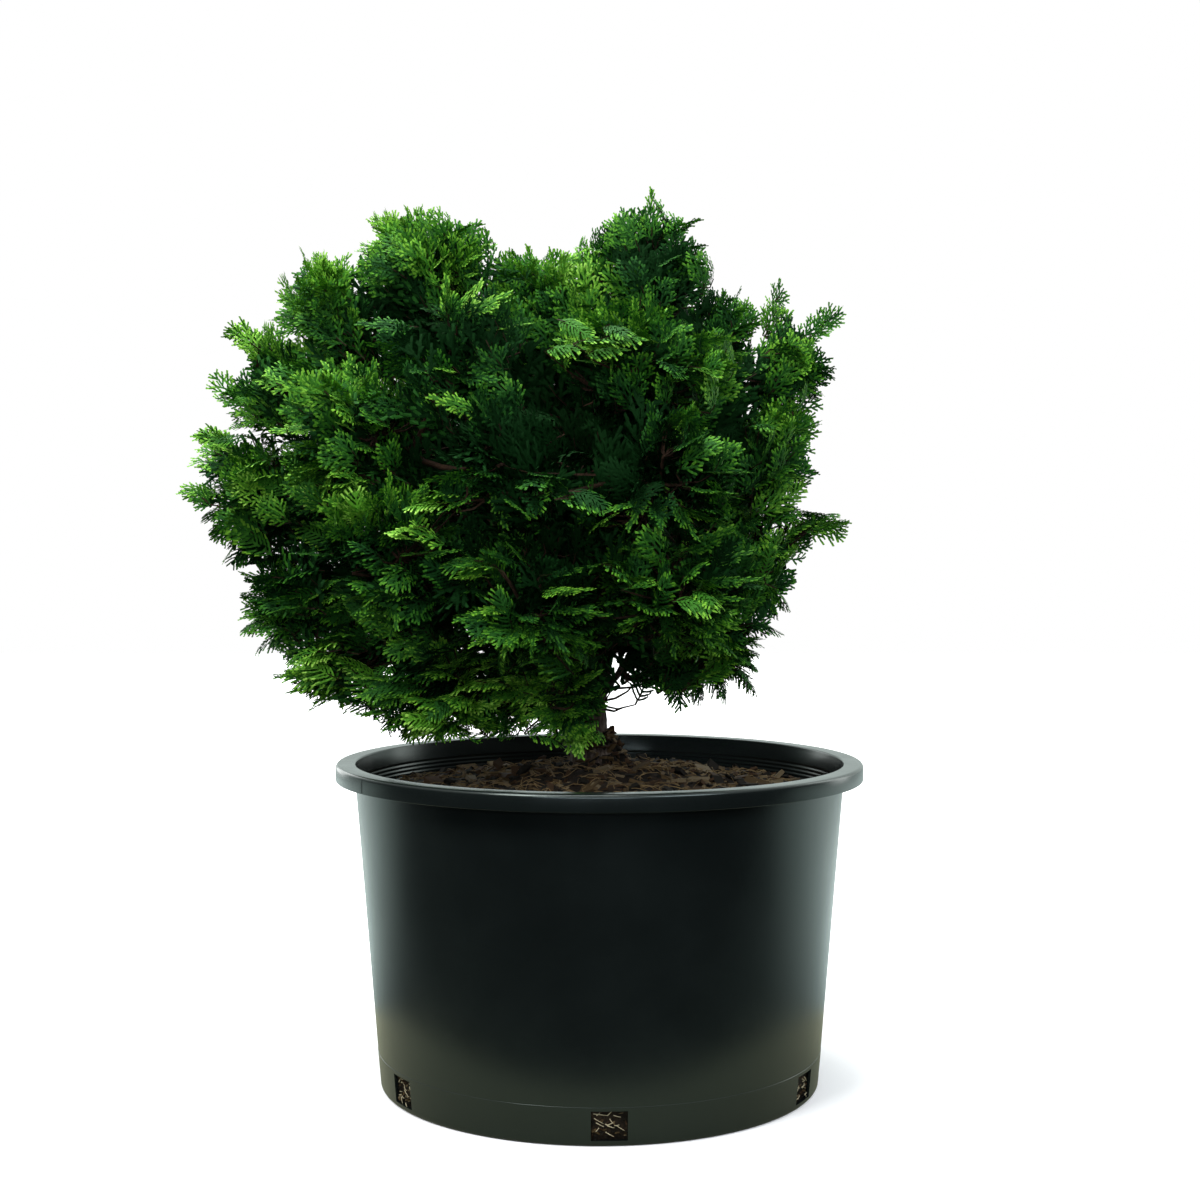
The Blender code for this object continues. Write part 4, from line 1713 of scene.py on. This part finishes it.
            stalks.add(line, self.stalk_radius * 1.3, self.stalk_radius * 0.6)

    def leaves(self, mass: FoliageMass, buds: list[Bud]) -> bpy.types.Object:
        """Grow the sprays of a mass.

        Args:
            mass: The mass.
            buds: Its sprays.

        Returns:
            Its leaves, as one piece.
        """
        mesh = mesh_from("buds", [tuple(b.place) for b in buds], [])
        put_values(mesh, "turn", "QUATERNION", [tuple(b.turn) for b in buds])
        put_values(mesh, "form", "INT", [b.form for b in buds])
        put_values(mesh, "shade", "FLOAT", [float(b.shade) for b in buds])
        put_values(mesh, "size", "FLOAT_VECTOR", [(b.size, b.size, b.size) for b in buds])
        values: dict[str, object] = {"Forms": self.forms}
        for number, shade in enumerate(LEAF_TONES_AND_PAINTED_LIGHT):
            values[f"Material {number}"] = shade.material()
        leaves = self.sprays.grow(link_new("buds", mesh), f"leaves_{mass.name}", values)
        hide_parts(mass.name)
        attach(leaves, BODY)
        return leaves

    def build(self) -> list[bpy.types.Object]:
        """Grow every mass.

        Returns:
            The leaf and twig pieces.
        """
        self.read()
        pieces = []
        lines, stalks = StemLines(), StemLines()
        for mass in self.masses:
            buds = self.plan(mass)
            self.twigs(mass, buds, lines, stalks)
            pieces.append(self.leaves(mass, buds))
            LOG.info("%s: %d sprays", mass.name, len(buds))
        for line in BARE_TWIGS:
            lines.add([Vector(point) for point in line], *self.bare_twig)
        for name, kind, sides in (("twigs", lines, 6), ("stalks", stalks, 3)):
            made = kind.build(self.stems, name, sides, Finish.TWIG.material())
            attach(made, BODY)
            pieces.append(made)
        return pieces


# Trunk and boughs


@dataclass
class WoodyFrame:
    """The trunk and its boughs, joined into one wood with the bark's relief."""

    voxel: float = 0.00125
    ridge_depth: float = 0.0011
    ridge_pitch: float = 190.0
    ridge_stretch: float = 0.18
    knot_pitch: float = 75.0
    shaded_above: float = 0.345

    def node_names(self) -> list[str]:
        """Return the CAD nodes that the wood stands for."""
        return sorted(n for n in frame["nodes"] if n == "trunk" or n.startswith("bough_"))

    def build(self) -> bpy.types.Object:
        """Join the limbs, round them over and raise the bark.

        Returns:
            The wood.
        """
        work = bmesh.new()
        for name in self.node_names():
            work.from_mesh(frame["nodes"][name].data)
        bmesh.ops.remove_doubles(work, verts=work.verts, dist=0.00002)
        mesh = bpy.data.meshes.new("trunk_and_boughs")
        work.to_mesh(mesh)
        work.free()
        wood = link_new("trunk_and_boughs", mesh)
        remesh = wood.modifiers.new("One wood", "REMESH")
        remesh.mode = "VOXEL"
        remesh.voxel_size = self.voxel
        soften = wood.modifiers.new("Round over", "SMOOTH")
        soften.factor = 0.6
        soften.iterations = 5
        settle(wood)
        self.raise_bark(wood.data)
        wood.data.materials.clear()
        for finish in (Finish.BARK, Finish.BARK_PAINTED_SHADE):
            wood.data.materials.append(finish.material())
        # Faces above shaded_above get the darker bark: painted shade under the crown.
        for face in wood.data.polygons:
            face.material_index = int(face.center.z > self.shaded_above)
        wood.data.shade_smooth()
        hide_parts(*self.node_names())
        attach(wood, BODY)
        return wood

    def raise_bark(self, mesh: bpy.types.Mesh) -> None:
        """Push the surface in and out along its normals in long fibrous ridges.

        Args:
            mesh: The wood's mesh.
        """
        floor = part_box("trunk")[0].z
        places = [v.co.copy() for v in mesh.vertices]
        outward = [v.normal.copy() for v in mesh.vertices]
        for i, (place, out) in enumerate(zip(places, outward)):
            if place.z < floor + 0.0012:
                continue
            depth = self.ridge_depth * (1.0 if place.z < 0.30 else 0.6)
            sample = Vector((place.x, place.y, place.z * self.ridge_stretch)) * self.ridge_pitch
            ridge = 1.0 - abs(noise.noise(sample)) * 2.6
            knot = noise.noise(place * self.knot_pitch)
            places[i] = place + out * depth * (0.75 * ridge + 0.5 * knot)
        mesh.vertices.foreach_set("co", np.asarray(places, dtype=np.float32).ravel())
        mesh.update()


# Potting mix


@dataclass
class ChipBed:
    """Chips dropped one by one, each with its place, turn, form, size and shade."""

    chance: random.Random
    forms: int = 7
    deal: tuple[int, ...] = (0, 0, 0, 0, 1, 1, 1, 2, 2, 3)
    places: list[Point] = field(default_factory=list)
    turns: list[Point] = field(default_factory=list)
    picks: list[int] = field(default_factory=list)
    sizes: list[Point] = field(default_factory=list)
    shades: list[float] = field(default_factory=list)

    def drop(self, place: Vector, size: float, lean: float) -> None:
        """Drop one chip.

        Args:
            place: Where its middle lies.
            size: Its length.
            lean: How far it leans from flat, as a spread in radians.
        """
        flat = Quaternion(UP, self.chance.uniform(0.0, 6.28))
        axis = Vector((self.chance.uniform(-1, 1), self.chance.uniform(-1, 1), 0.01)).normalized()
        self.places.append(tuple(place))
        self.turns.append(tuple(Quaternion(axis, self.chance.gauss(0.0, lean)) @ flat))
        self.picks.append(self.chance.randrange(self.forms))
        self.sizes.append((size, size, size))
        self.shades.append(float(self.chance.choice(self.deal)))

    def slabs(self) -> bpy.types.Collection:
        """Make a few rough slabs of bark, each a jittered block.

        Returns:
            The collection of slabs.
        """
        group = bpy.data.collections.new("chip_forms")
        for number in range(self.forms):
            chance = random.Random(60 + number)
            work = bmesh.new()
            bmesh.ops.create_cube(work, size=1.0)
            thin = chance.uniform(0.10, 0.30)
            wide = chance.uniform(0.30, 0.75)
            for vertex in work.verts:
                jitter = [chance.uniform(0.65, 1.15) for _ in range(3)]
                vertex.co.x *= jitter[0]
                vertex.co.y *= wide * jitter[1]
                vertex.co.z *= thin * jitter[2]
            mesh = bpy.data.meshes.new(f"chip_{number:02d}")
            work.to_mesh(mesh)
            work.free()
            group.objects.link(bpy.data.objects.new(f"chip_{number:02d}", mesh))
        return group

    def build(self) -> bpy.types.Object:
        """Make the dropped chips into one piece.

        Returns:
            The chips.
        """
        mesh = mesh_from("chip_points", self.places, [])
        put_values(mesh, "turn", "QUATERNION", self.turns)
        put_values(mesh, "form", "INT", self.picks)
        put_values(mesh, "shade", "FLOAT", self.shades)
        put_values(mesh, "tone", "FLOAT", [0.0] * len(self.shades))
        put_values(mesh, "size", "FLOAT_VECTOR", self.sizes)
        group = self.slabs()
        finishes = (Finish.CHIP_DARK, Finish.CHIP_RED, Finish.CHIP_BROWN, Finish.CHIP_GREY)
        values: dict[str, object] = {"Forms": group}
        for number, finish in enumerate(finishes):
            values[f"Material {number}"] = finish.material()
        rule = painted_rule("chips_on_mix", len(finishes))
        chips = rule.grow(link_new("chip_points", mesh), "bark_chips", values)
        clear_group(group)
        return chips


@dataclass
class PottingMix:
    """The bark and fibre mix: its lumpy surface, its chips and its strands."""

    mound_flat: float = 0.053
    edge_height: float = 0.2345
    mound_height: float = 0.2565
    floor_height: float = 0.0033
    edge_radius: float = 0.1962
    foot_radius: float = 0.1766
    edge_drop: float = 0.003
    chips: int = 2600
    chip_spread: float = 0.191
    chip_limit: float = 0.1935
    heap_chips: int = 120
    strands: int = 850
    strand_points: int = 6
    strand_limit: float = 0.192
    hole_chips: int = 60
    hole_deal: tuple[int, ...] = (0, 0, 0, 0, 1, 2, 3)
    hole_roots: int = 15
    steps: int = 150
    rings: int = 46
    sides: int = 26

    def height(self, x: float, y: float) -> float:
        """Find the height of the mix's surface.

        Args:
            x: The place across.
            y: The place in depth.

        Returns:
            The height.
        """
        radius = math.hypot(x, y)
        share = clamp((radius - self.mound_flat) / (self.edge_radius - self.mound_flat))
        rise = (self.mound_height - self.edge_height) * (1.0 - share) ** 1.7
        lump = 0.0042 * noise.noise(Vector((x, y, 0.3)) * 34.0)
        lump += 0.0024 * noise.noise(Vector((x, y, 1.7)) * 95.0)
        lump += 0.0010 * noise.noise(Vector((x, y, 4.1)) * 260.0)
        calm = 0.25 if radius < 0.03 else 1.0
        return self.edge_height + rise + lump * calm

    def outline(self) -> list[tuple[float, float, float]]:
        """Lay rings of points over the top, and on down the side.

        Returns:
            The points, ring by ring.
        """
        turns = [2 * math.pi * j / self.steps for j in range(self.steps)]
        points: list[tuple[float, float, float]] = []
        for i in range(1, self.rings + 1):
            for turn in turns:
                x, y = around(self.edge_radius * i / self.rings, turn)
                points.append((x, y, self.height(x, y)))
        top = self.edge_height - self.edge_drop
        fall = self.floor_height - self.edge_height + self.edge_drop
        for i in range(1, self.sides + 1):
            share = i / self.sides
            z = top + fall * share
            radius = self.edge_radius + (self.foot_radius - self.edge_radius) * share
            for turn in turns:
                way = Vector((*around(1.0, turn), 0.0))
                dent = 0.0011 * (1.0 + noise.noise((way * radius + UP * z) * 210.0))
                points.append(tuple(way * (radius - dent) + UP * z))
        return points

    def surface(self) -> bpy.types.Object:
        """Build the closed body of the mix with its uneven top.

        Returns:
            The body.
        """
        points = self.outline()
        faces: list[tuple[int, ...]] = []
        count = self.rings + self.sides
        for i in range(count - 1):
            a, b = i * self.steps, (i + 1) * self.steps
            for j in range(self.steps):
                k = (j + 1) % self.steps
                faces.append((a + j, b + j, b + k, a + k))
        top, bottom = len(points), len(points) + 1
        points.append((0.0, 0.0, self.height(0.0, 0.0)))
        points.append((0.0, 0.0, self.floor_height))
        last = (count - 1) * self.steps
        for j in range(self.steps):
            k = (j + 1) % self.steps
            faces.append((j, k, top))
            faces.append((last + k, last + j, bottom))
        mesh = mesh_from("potting_mix_body", points, faces)
        mesh.materials.append(Finish.MIX.material())
        mesh.shade_smooth()
        return link_new("potting_mix_body", mesh)

    def scatter(self, bed: ChipBed) -> None:
        """Drop chips over the top, and heap some round the trunk's foot.

        Args:
            bed: Where they are noted.
        """
        chance = bed.chance
        for _ in range(self.chips):
            radius = self.chip_spread * math.sqrt(chance.uniform(0.012, 1.0))
            x, y = around(radius, chance.uniform(0.0, 2 * math.pi))
            size = min(0.022, 0.0045 + chance.expovariate(1 / 0.0042))
            if radius + size / 2 > self.chip_limit:
                size = 0.005
            bed.drop(Vector((x, y, self.height(x, y) + 0.0006)), size, 0.42)
        for _ in range(self.heap_chips):
            turn = chance.gauss(-0.35, 0.55)
            rise = 0.030 * chance.random() ** 1.3
            knee = 0.020 * (1.0 - rise / 0.032) * max(0.0, math.cos(turn + 0.25)) ** 4
            x, y = around(0.0150 + knee + chance.uniform(-0.0005, 0.0030), turn)
            bed.drop(Vector((x - 0.009, y, 0.2560 + rise)), chance.uniform(0.005, 0.012), 1.1)

    def fibres(self, chance: random.Random) -> StemLines:
        """Lay loose strands of fibre over the top.

        Args:
            chance: The random source.

        Returns:
            Their lines.
        """
        lines = StemLines()
        pieces = self.strand_points - 1
        for _ in range(self.strands):
            radius = 0.182 * math.sqrt(chance.uniform(0.02, 1.0))
            x, y = around(radius, chance.uniform(0.0, 2 * math.pi))
            way = chance.uniform(0.0, 2 * math.pi)
            length = chance.uniform(0.008, 0.030)
            line = []
            for i in range(self.strand_points):
                if math.hypot(x, y) > self.strand_limit:
                    break
                z = self.height(x, y) + 0.0012 + 0.0022 * math.sin(math.pi * i / pieces)
                line.append(Vector((x, y, z)))
                way += chance.gauss(0.0, 0.45)
                x += math.cos(way) * length / pieces
                y += math.sin(way) * length / pieces
            if len(line) > 2:
                lines.add(line, chance.uniform(0.00028, 0.00055), 0.0002)
        return lines

    def fill_holes(self, bed: ChipBed) -> StemLines:
        """Put chips and roots where the mix shows in the drain holes.

        Args:
            bed: Where the chips are noted.

        Returns:
            The roots' lines.
        """
        chance = bed.chance
        roots = StemLines()
        for turn in HOLE_TURNS:
            out = Vector((*around(1.0, turn), 0.0))
            side = Vector((-out.y, out.x, 0.0))
            for _ in range(self.hole_chips):
                across, up = chance.uniform(-0.0125, 0.0125), chance.uniform(0.0055, 0.0255)
                place = out * 0.1764 + side * across + UP * up
                bed.drop(place, chance.uniform(0.002, 0.005), 1.5)
                bed.shades[-1] = float(chance.choice(self.hole_deal))
            for _ in range(self.hole_roots):
                across, up = chance.uniform(-0.012, 0.009), chance.uniform(0.006, 0.024)
                start = out * 0.1776 + side * across + UP * up
                end = start + side * chance.uniform(0.002, 0.008)
                end += UP * chance.uniform(-0.005, 0.005)
                roots.add(arc(start, end, out * 0.0008, 4), 0.00035, 0.0002)
        return roots

    def build(self, stems: GrowthRule) -> list[bpy.types.Object]:
        """Build the mix, its chips and its strands.

        Args:
            stems: The round stem rule.

        Returns:
            The pieces.
        """
        body = self.surface()
        bed = ChipBed(random.Random(5))
        self.scatter(bed)
        fibres = self.fibres(bed.chance)
        roots = self.fill_holes(bed)
        chips = bed.build()
        strands = fibres.build(stems, "coir_strands", 4, Finish.FIBRE.material())
        pale = roots.build(stems, "hole_roots", 5, Finish.ROOT.material())
        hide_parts("potting_mix")
        for piece in (body, chips, strands, pale):
            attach(piece, BODY)
        return [body, chips, strands, pale]


# Pot


@dataclass
class NurseryPot:
    """The moulded pot: its turned wall, rolled rim, mould lines and drain holes."""

    height: float = 0.2615
    rim_radius: float = 0.216
    lip_radius: float = 0.2005
    band: float = 0.0132
    band_wall: float = 0.0024
    top_radius: float = 0.2002
    foot_radius: float = 0.1792
    wall: float = 0.0022
    floor: float = 0.003
    steps: int = 180
    hole_width: float = 0.027
    hole_height: float = 0.022
    hole_bottom: float = 0.0045
    mould_line: float = 0.0292
    ripples_above: float = 0.192
    ripple_depth: float = 0.00022
    ripple_pitch: float = 0.0034

    def wall_radius(self, z: float) -> float:
        """Return the outer radius of the wall at a height."""
        share = z / (self.height - self.band)
        return self.foot_radius + (self.top_radius - self.foot_radius) * share

    def rounded(
        self, centre: tuple[float, float], radius: float, start: float, end: float, steps: int
    ) -> list[tuple[float, float]]:
        """Round a corner of the section.

        Args:
            centre: The arc's centre.
            radius: Its radius.
            start: The angle it starts at, in degrees from outward towards up.
            end: The angle it ends at.
            steps: How many pieces it has.

        Returns:
            Its points.
        """
        made = []
        for i in range(steps + 1):
            turn = math.radians(start + (end - start) * i / steps)
            out, up = around(radius, turn)
            made.append((centre[0] + out, centre[1] + up))
        return made

    def section(self) -> list[tuple[float, float]]:
        """Draw the pot's section from its inside floor over the rim to the centre of its underside.

        Returns:
            Radius and height of each point.
        """
        low = self.floor
        inner = self.wall_radius(low + 0.004) - self.wall
        line: list[tuple[float, float]] = [(0.0, low)]
        line += self.rounded((inner - 0.004, low + 0.004), 0.004, -90.0, 0.0, 5)
        neck = self.height - self.band
        z = low + 0.01
        while z < neck - 0.0005:
            rippled = z > self.ripples_above
            wave = self.ripple_depth * math.sin(2 * math.pi * z / self.ripple_pitch)
            line.append((self.wall_radius(z) - self.wall + (wave if rippled else 0.0), z))
            z += 0.00085 if rippled else 0.013
        line.append((self.lip_radius - 0.0009, self.height - 0.0040))
        lip = (self.lip_radius + 0.0009, self.height - 0.0014)
        line += self.rounded(lip, 0.0014, 180.0, 90.0, 5)
        line += self.rounded((self.rim_radius - 0.0028, self.height - 0.0028), 0.0028, 90.0, 0.0, 7)
        line += self.rounded((self.rim_radius - 0.0006, neck + 0.0006), 0.0006, 0.0, -90.0, 3)
        back = self.rim_radius - self.band_wall
        line += [(back + 0.0004, neck), (back, neck + 0.0005), (back, self.height - 0.0044)]
        line += [(back - 0.0012, self.height - self.band_wall)]
        root = self.wall_radius(neck)
        line += [(root + 0.0018, self.height - self.band_wall)]
        line += [(root + 0.0004, self.height - 0.0048), (root, neck + 0.002)]
        for i in range(1, 18):
            z = neck - (neck - self.mould_line) * i / 18
            line.append((self.wall_radius(z), z))
        edge = self.mould_line
        line += [(self.wall_radius(edge), edge + 0.0002), (self.wall_radius(edge) + 0.00018, edge)]
        line += [(self.wall_radius(edge) + 0.00016, edge - 0.0006)]
        line += [(self.wall_radius(0.016) + 0.0001, 0.016), (self.wall_radius(0.007), 0.007)]
        foot = self.wall_radius(0.003)
        line += self.rounded((foot - 0.003, 0.003), 0.003, 0.0, -90.0, 5)
        line.append((0.0, 0.0))
        return line

    def cutter(
        self, turn: float, radius: float, size: Vector, z: float, bevel: float
    ) -> bpy.types.Object:
        """Make a block that stands across the wall.

        Args:
            turn: Its angle round the pot's axis.
            radius: Its distance from the axis.
            size: Its size.
            z: The height of its middle.
            bevel: How far its edges are rounded.

        Returns:
            The block.
        """
        work = bmesh.new()
        bmesh.ops.create_cube(work, size=1.0)
        place = Matrix.Rotation(turn, 4, "Z") @ Matrix.Translation((radius, 0.0, z))
        shape = Matrix.Diagonal((size.x, size.y, size.z, 1.0))
        bmesh.ops.transform(work, matrix=place @ shape, verts=work.verts)
        if bevel:
            bmesh.ops.bevel(work, geom=work.edges, offset=bevel, segments=2, profile=0.5)
        mesh = bpy.data.meshes.new("pot_cutter")
        work.to_mesh(mesh)
        work.free()
        return link_new("pot_cutter", mesh)

    def build(self) -> bpy.types.Object:
        """Turn the section, cut the drain holes and the rim's mould notch.

        Returns:
            The pot.
        """
        section = self.section()
        edges = [(i, i + 1) for i in range(len(section) - 1)]
        mesh = mesh_from("nursery_pot", [(r, 0.0, z) for r, z in section], [], edges)
        pot = link_new("nursery_pot", mesh)
        screw = pot.modifiers.new("Turn", "SCREW")
        screw.steps = self.steps
        screw.render_steps = self.steps
        screw.use_merge_vertices = True
        screw.merge_threshold = 0.00005
        settle(pot)
        work = bmesh.new()
        work.from_mesh(pot.data)
        bmesh.ops.remove_doubles(work, verts=work.verts, dist=0.00002)
        bmesh.ops.recalc_face_normals(work, faces=work.faces)
        work.to_mesh(pot.data)
        work.free()
        cutters = []
        size = Vector((0.020, self.hole_width, self.hole_height))
        middle = self.hole_bottom + self.hole_height / 2
        for turn in HOLE_TURNS:
            cutters.append(self.cutter(turn, self.foot_radius, size, middle, 0.0012))
        notch = Vector((0.0016, 0.0010, self.band * 0.9))
        middle = self.height - self.band / 2
        cutters.append(self.cutter(math.radians(-147.0), self.rim_radius, notch, middle, 0.0))
        for cutter in cutters:
            cut = pot.modifiers.new("Cut", "BOOLEAN")
            cut.operation = "DIFFERENCE"
            cut.solver = "EXACT"
            cut.object = cutter
        settle(pot)
        for cutter in cutters:
            bpy.data.objects.remove(cutter, do_unlink=True)
        pot.data.materials.clear()
        pot.data.materials.append(Finish.PLASTIC.material())
        smooth_faces(pot.data, 32.0)
        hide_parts("pot")
        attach(pot, BODY)
        return pot


# Studio


@dataclass
class Studio:
    """The pale floor, the soft lights and the camera at the photograph's viewing angle."""

    distance: float = 1.497
    eye_height: float = 0.4355
    focal_pixels: float = 1810.0
    frame_pixels: float = 1200.0
    horizon_offset: float = 51.0

    def floor_material(self) -> bpy.types.Material:
        """Make the floor's finish: white to the eye, and pale behind the pot for what it lights.

        Returns:
            The material.
        """
        material, sheet, shader = blank_material("pale_floor")
        output = material.node_tree.nodes["Material Output"]
        place = sheet.add("ShaderNodeTexCoord").outputs["Object"]
        split = sheet.add("ShaderNodeSeparateXYZ")
        sheet.join(place, split.inputs["Vector"])
        lean = sheet.weigh(split.outputs["X"], 0.155, split.outputs["Y"])
        wide = sheet.ramp(
            sheet.rescale(lean, (-0.30, 0.70)),
            [(0.05, (0.029, 0.034, 0.033)), (0.22, (0.072, 0.086, 0.083)),
             (0.44, (0.28, 0.335, 0.32)), (0.70, (0.45, 0.54, 0.52)), (0.95, (0.53, 0.62, 0.60))],
        )
        flat = sheet.add("ShaderNodeVectorMath", operation="MULTIPLY")
        flat.inputs[1].default_value = (0.88, 1.10, 0.0)
        sheet.join(place, flat.inputs[0])
        radius = sheet.length(flat.outputs["Vector"])
        beyond = sheet.rescale(radius, (0.275, 0.335), interpolation_type="SMOOTHSTEP")
        (under, behind), mixed = sheet.colour_mix(beyond)
        under.default_value = (0.350, 0.360, 0.258, 1.0)
        sheet.join(wide, behind)
        lit = sheet.add("ShaderNodeBsdfDiffuse")
        sheet.join(mixed, lit.inputs["Color"])
        shader.inputs["Base Color"].default_value = (0.90, 0.90, 0.90, 1.0)
        shader.inputs["Roughness"].default_value = 0.8
        shader.inputs["Specular IOR Level"].default_value = 0.1
        shader.inputs["Emission Color"].default_value = (1.0, 1.0, 1.0, 1.0)
        fade = sheet.rescale(sheet.length(place), (0.20, 0.95), (0.12, 1.0))
        sheet.join(fade, shader.inputs["Emission Strength"])
        path = sheet.add("ShaderNodeLightPath")
        pick = sheet.add("ShaderNodeMixShader")
        sheet.join(path.outputs["Is Camera Ray"], pick.inputs["Fac"])
        sheet.join(lit.outputs["BSDF"], pick.inputs[1])
        sheet.join(shader.outputs["BSDF"], pick.inputs[2])
        sheet.join(pick.outputs["Shader"], output.inputs["Surface"])
        return material

    def floor(self) -> None:
        """Lay the floor, which ends a little in front of the pot, just outside the frame."""
        side, front, back = 5.0, -0.33, 6.0
        points = [(-side, front, 0.0), (side, front, 0.0), (side, back, 0.0), (-side, back, 0.0)]
        mesh = mesh_from("studio_floor", points, [(0, 1, 2, 3)])
        mesh.materials.append(self.floor_material())
        floor = link_new("studio_floor", mesh)

    def light(
        self,
        name: str,
        place: Vector,
        aim: Vector,
        size: tuple[float, float],
        power: float,
        colour: Colour = (1.0, 1.0, 1.0),
    ) -> None:
        """Hang one soft light.

        Args:
            name: Its name.
            place: Where it hangs.
            aim: What it points at.
            size: Its width and height in metres.
            power: Its power in watts.
            colour: Its colour.
        """
        data = bpy.data.lights.new(name, "AREA")
        data.shape = "RECTANGLE"
        data.size, data.size_y = size
        data.energy = power
        data.color = colour
        lamp = bpy.data.objects.new(name, data)
        lamp.location = place
        lamp.rotation_euler = (place - aim).to_track_quat("Z", "Y").to_euler()
        bpy.context.scene.collection.objects.link(lamp)

    def world(self) -> None:
        """Make the surroundings: white to the eye, and for light a bright ceiling over dark walls."""
        world = bpy.data.worlds.new("studio_surroundings")
        bpy.context.scene.world = world
        world.use_nodes = True
        sheet = NodeSheet(world.node_tree)
        shader = world.node_tree.nodes["Background"]
        path = sheet.add("ShaderNodeLightPath")
        where = sheet.add("ShaderNodeTexCoord")
        split = sheet.add("ShaderNodeSeparateXYZ")
        sheet.join(where.outputs["Generated"], split.inputs["Vector"])
        ceiling = sheet.ramp(
            split.outputs["Z"],
            [(0.0, (0.0, 0.0, 0.0)), (0.25, (0.10, 0.10, 0.10)), (0.80, (0.80, 0.80, 0.80))],
        )
        wall = sheet.ramp(
            sheet.weigh(split.outputs["X"], 0.12, split.outputs["Y"]),
            [(0.0, (0.016, 0.018, 0.018)), (0.12, (0.024, 0.028, 0.027)),
             (0.32, (0.12, 0.15, 0.145)), (0.46, (0.43, 0.52, 0.49)), (0.62, (0.78, 0.90, 0.86))],
        )
        total = sheet.add("ShaderNodeVectorMath", operation="ADD")
        sheet.join(ceiling, total.inputs[0])
        sheet.join(wall, total.inputs[1])
        (lit, seen), mixed = sheet.colour_mix(path.outputs["Is Camera Ray"])
        sheet.join(total.outputs["Vector"], lit)
        seen.default_value = (1.0, 1.0, 1.0, 1.0)
        sheet.join(mixed, shader.inputs["Color"])
        shader.inputs["Strength"].default_value = 1.0

    def camera(self) -> None:
        """Set up the camera of the photograph."""
        data = bpy.data.cameras.new("photo_camera")
        data.sensor_width = 36.0
        data.lens = self.focal_pixels / self.frame_pixels * 36.0
        data.shift_y = -self.horizon_offset / self.frame_pixels
        camera = bpy.data.objects.new("photo_camera", data)
        camera.location = (0.0004, -self.distance, self.eye_height)
        camera.rotation_euler = (math.radians(90.0), 0.0, 0.0)
        bpy.context.scene.collection.objects.link(camera)
        bpy.context.scene.camera = camera

    def build(self) -> None:
        """Set up the whole studio."""
        self.floor()
        aim = Vector((-0.02, 0.0, 0.40))
        cool = (0.92, 0.98, 1.10)
        self.light("overhead", Vector((-0.30, 0.05, 2.1)), aim, (1.3, 1.2), 51.0)
        self.light("left_box", Vector((-1.05, 1.40, 0.75)), aim, (0.6, 1.4), 5.0)
        self.light("right_box", Vector((1.50, 0.80, 0.75)), aim, (0.5, 1.4), 5.0)
        self.light("key_left", Vector((-1.05, -1.35, 1.95)), aim, (0.8, 0.8), 36.0)
        self.light("fill_right", Vector((1.10, -1.50, 1.35)), aim, (0.9, 0.7), 14.0, cool)
        self.light("front_low", Vector((-0.20, -2.40, 0.75)), aim, (1.6, 0.5), 16.0, cool)
        self.world()
        self.camera()
        bpy.context.scene.view_settings.view_transform = "Standard"


def main() -> None:
    """Build the pot, the mix, the wood and the crown in order, then the studio."""
    logging.basicConfig(level=logging.INFO, format="%(message)s")
    stems = stem_rule()
    pieces = [NurseryPot().build(), *PottingMix().build(stems), WoodyFrame().build()]
    forms = SprayNursery(leaf_rule()).build()
    pieces += Crown(painted_rule("sprays_on_buds", len(LEAF_TONES_AND_PAINTED_LIGHT)), stems, forms).build()
    clear_group(forms)
    for piece in pieces:
        LOG.info("%s: %d faces", piece.name, len(piece.data.polygons))
    Studio().build()
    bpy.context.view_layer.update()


if __name__ == "__main__":
    main()
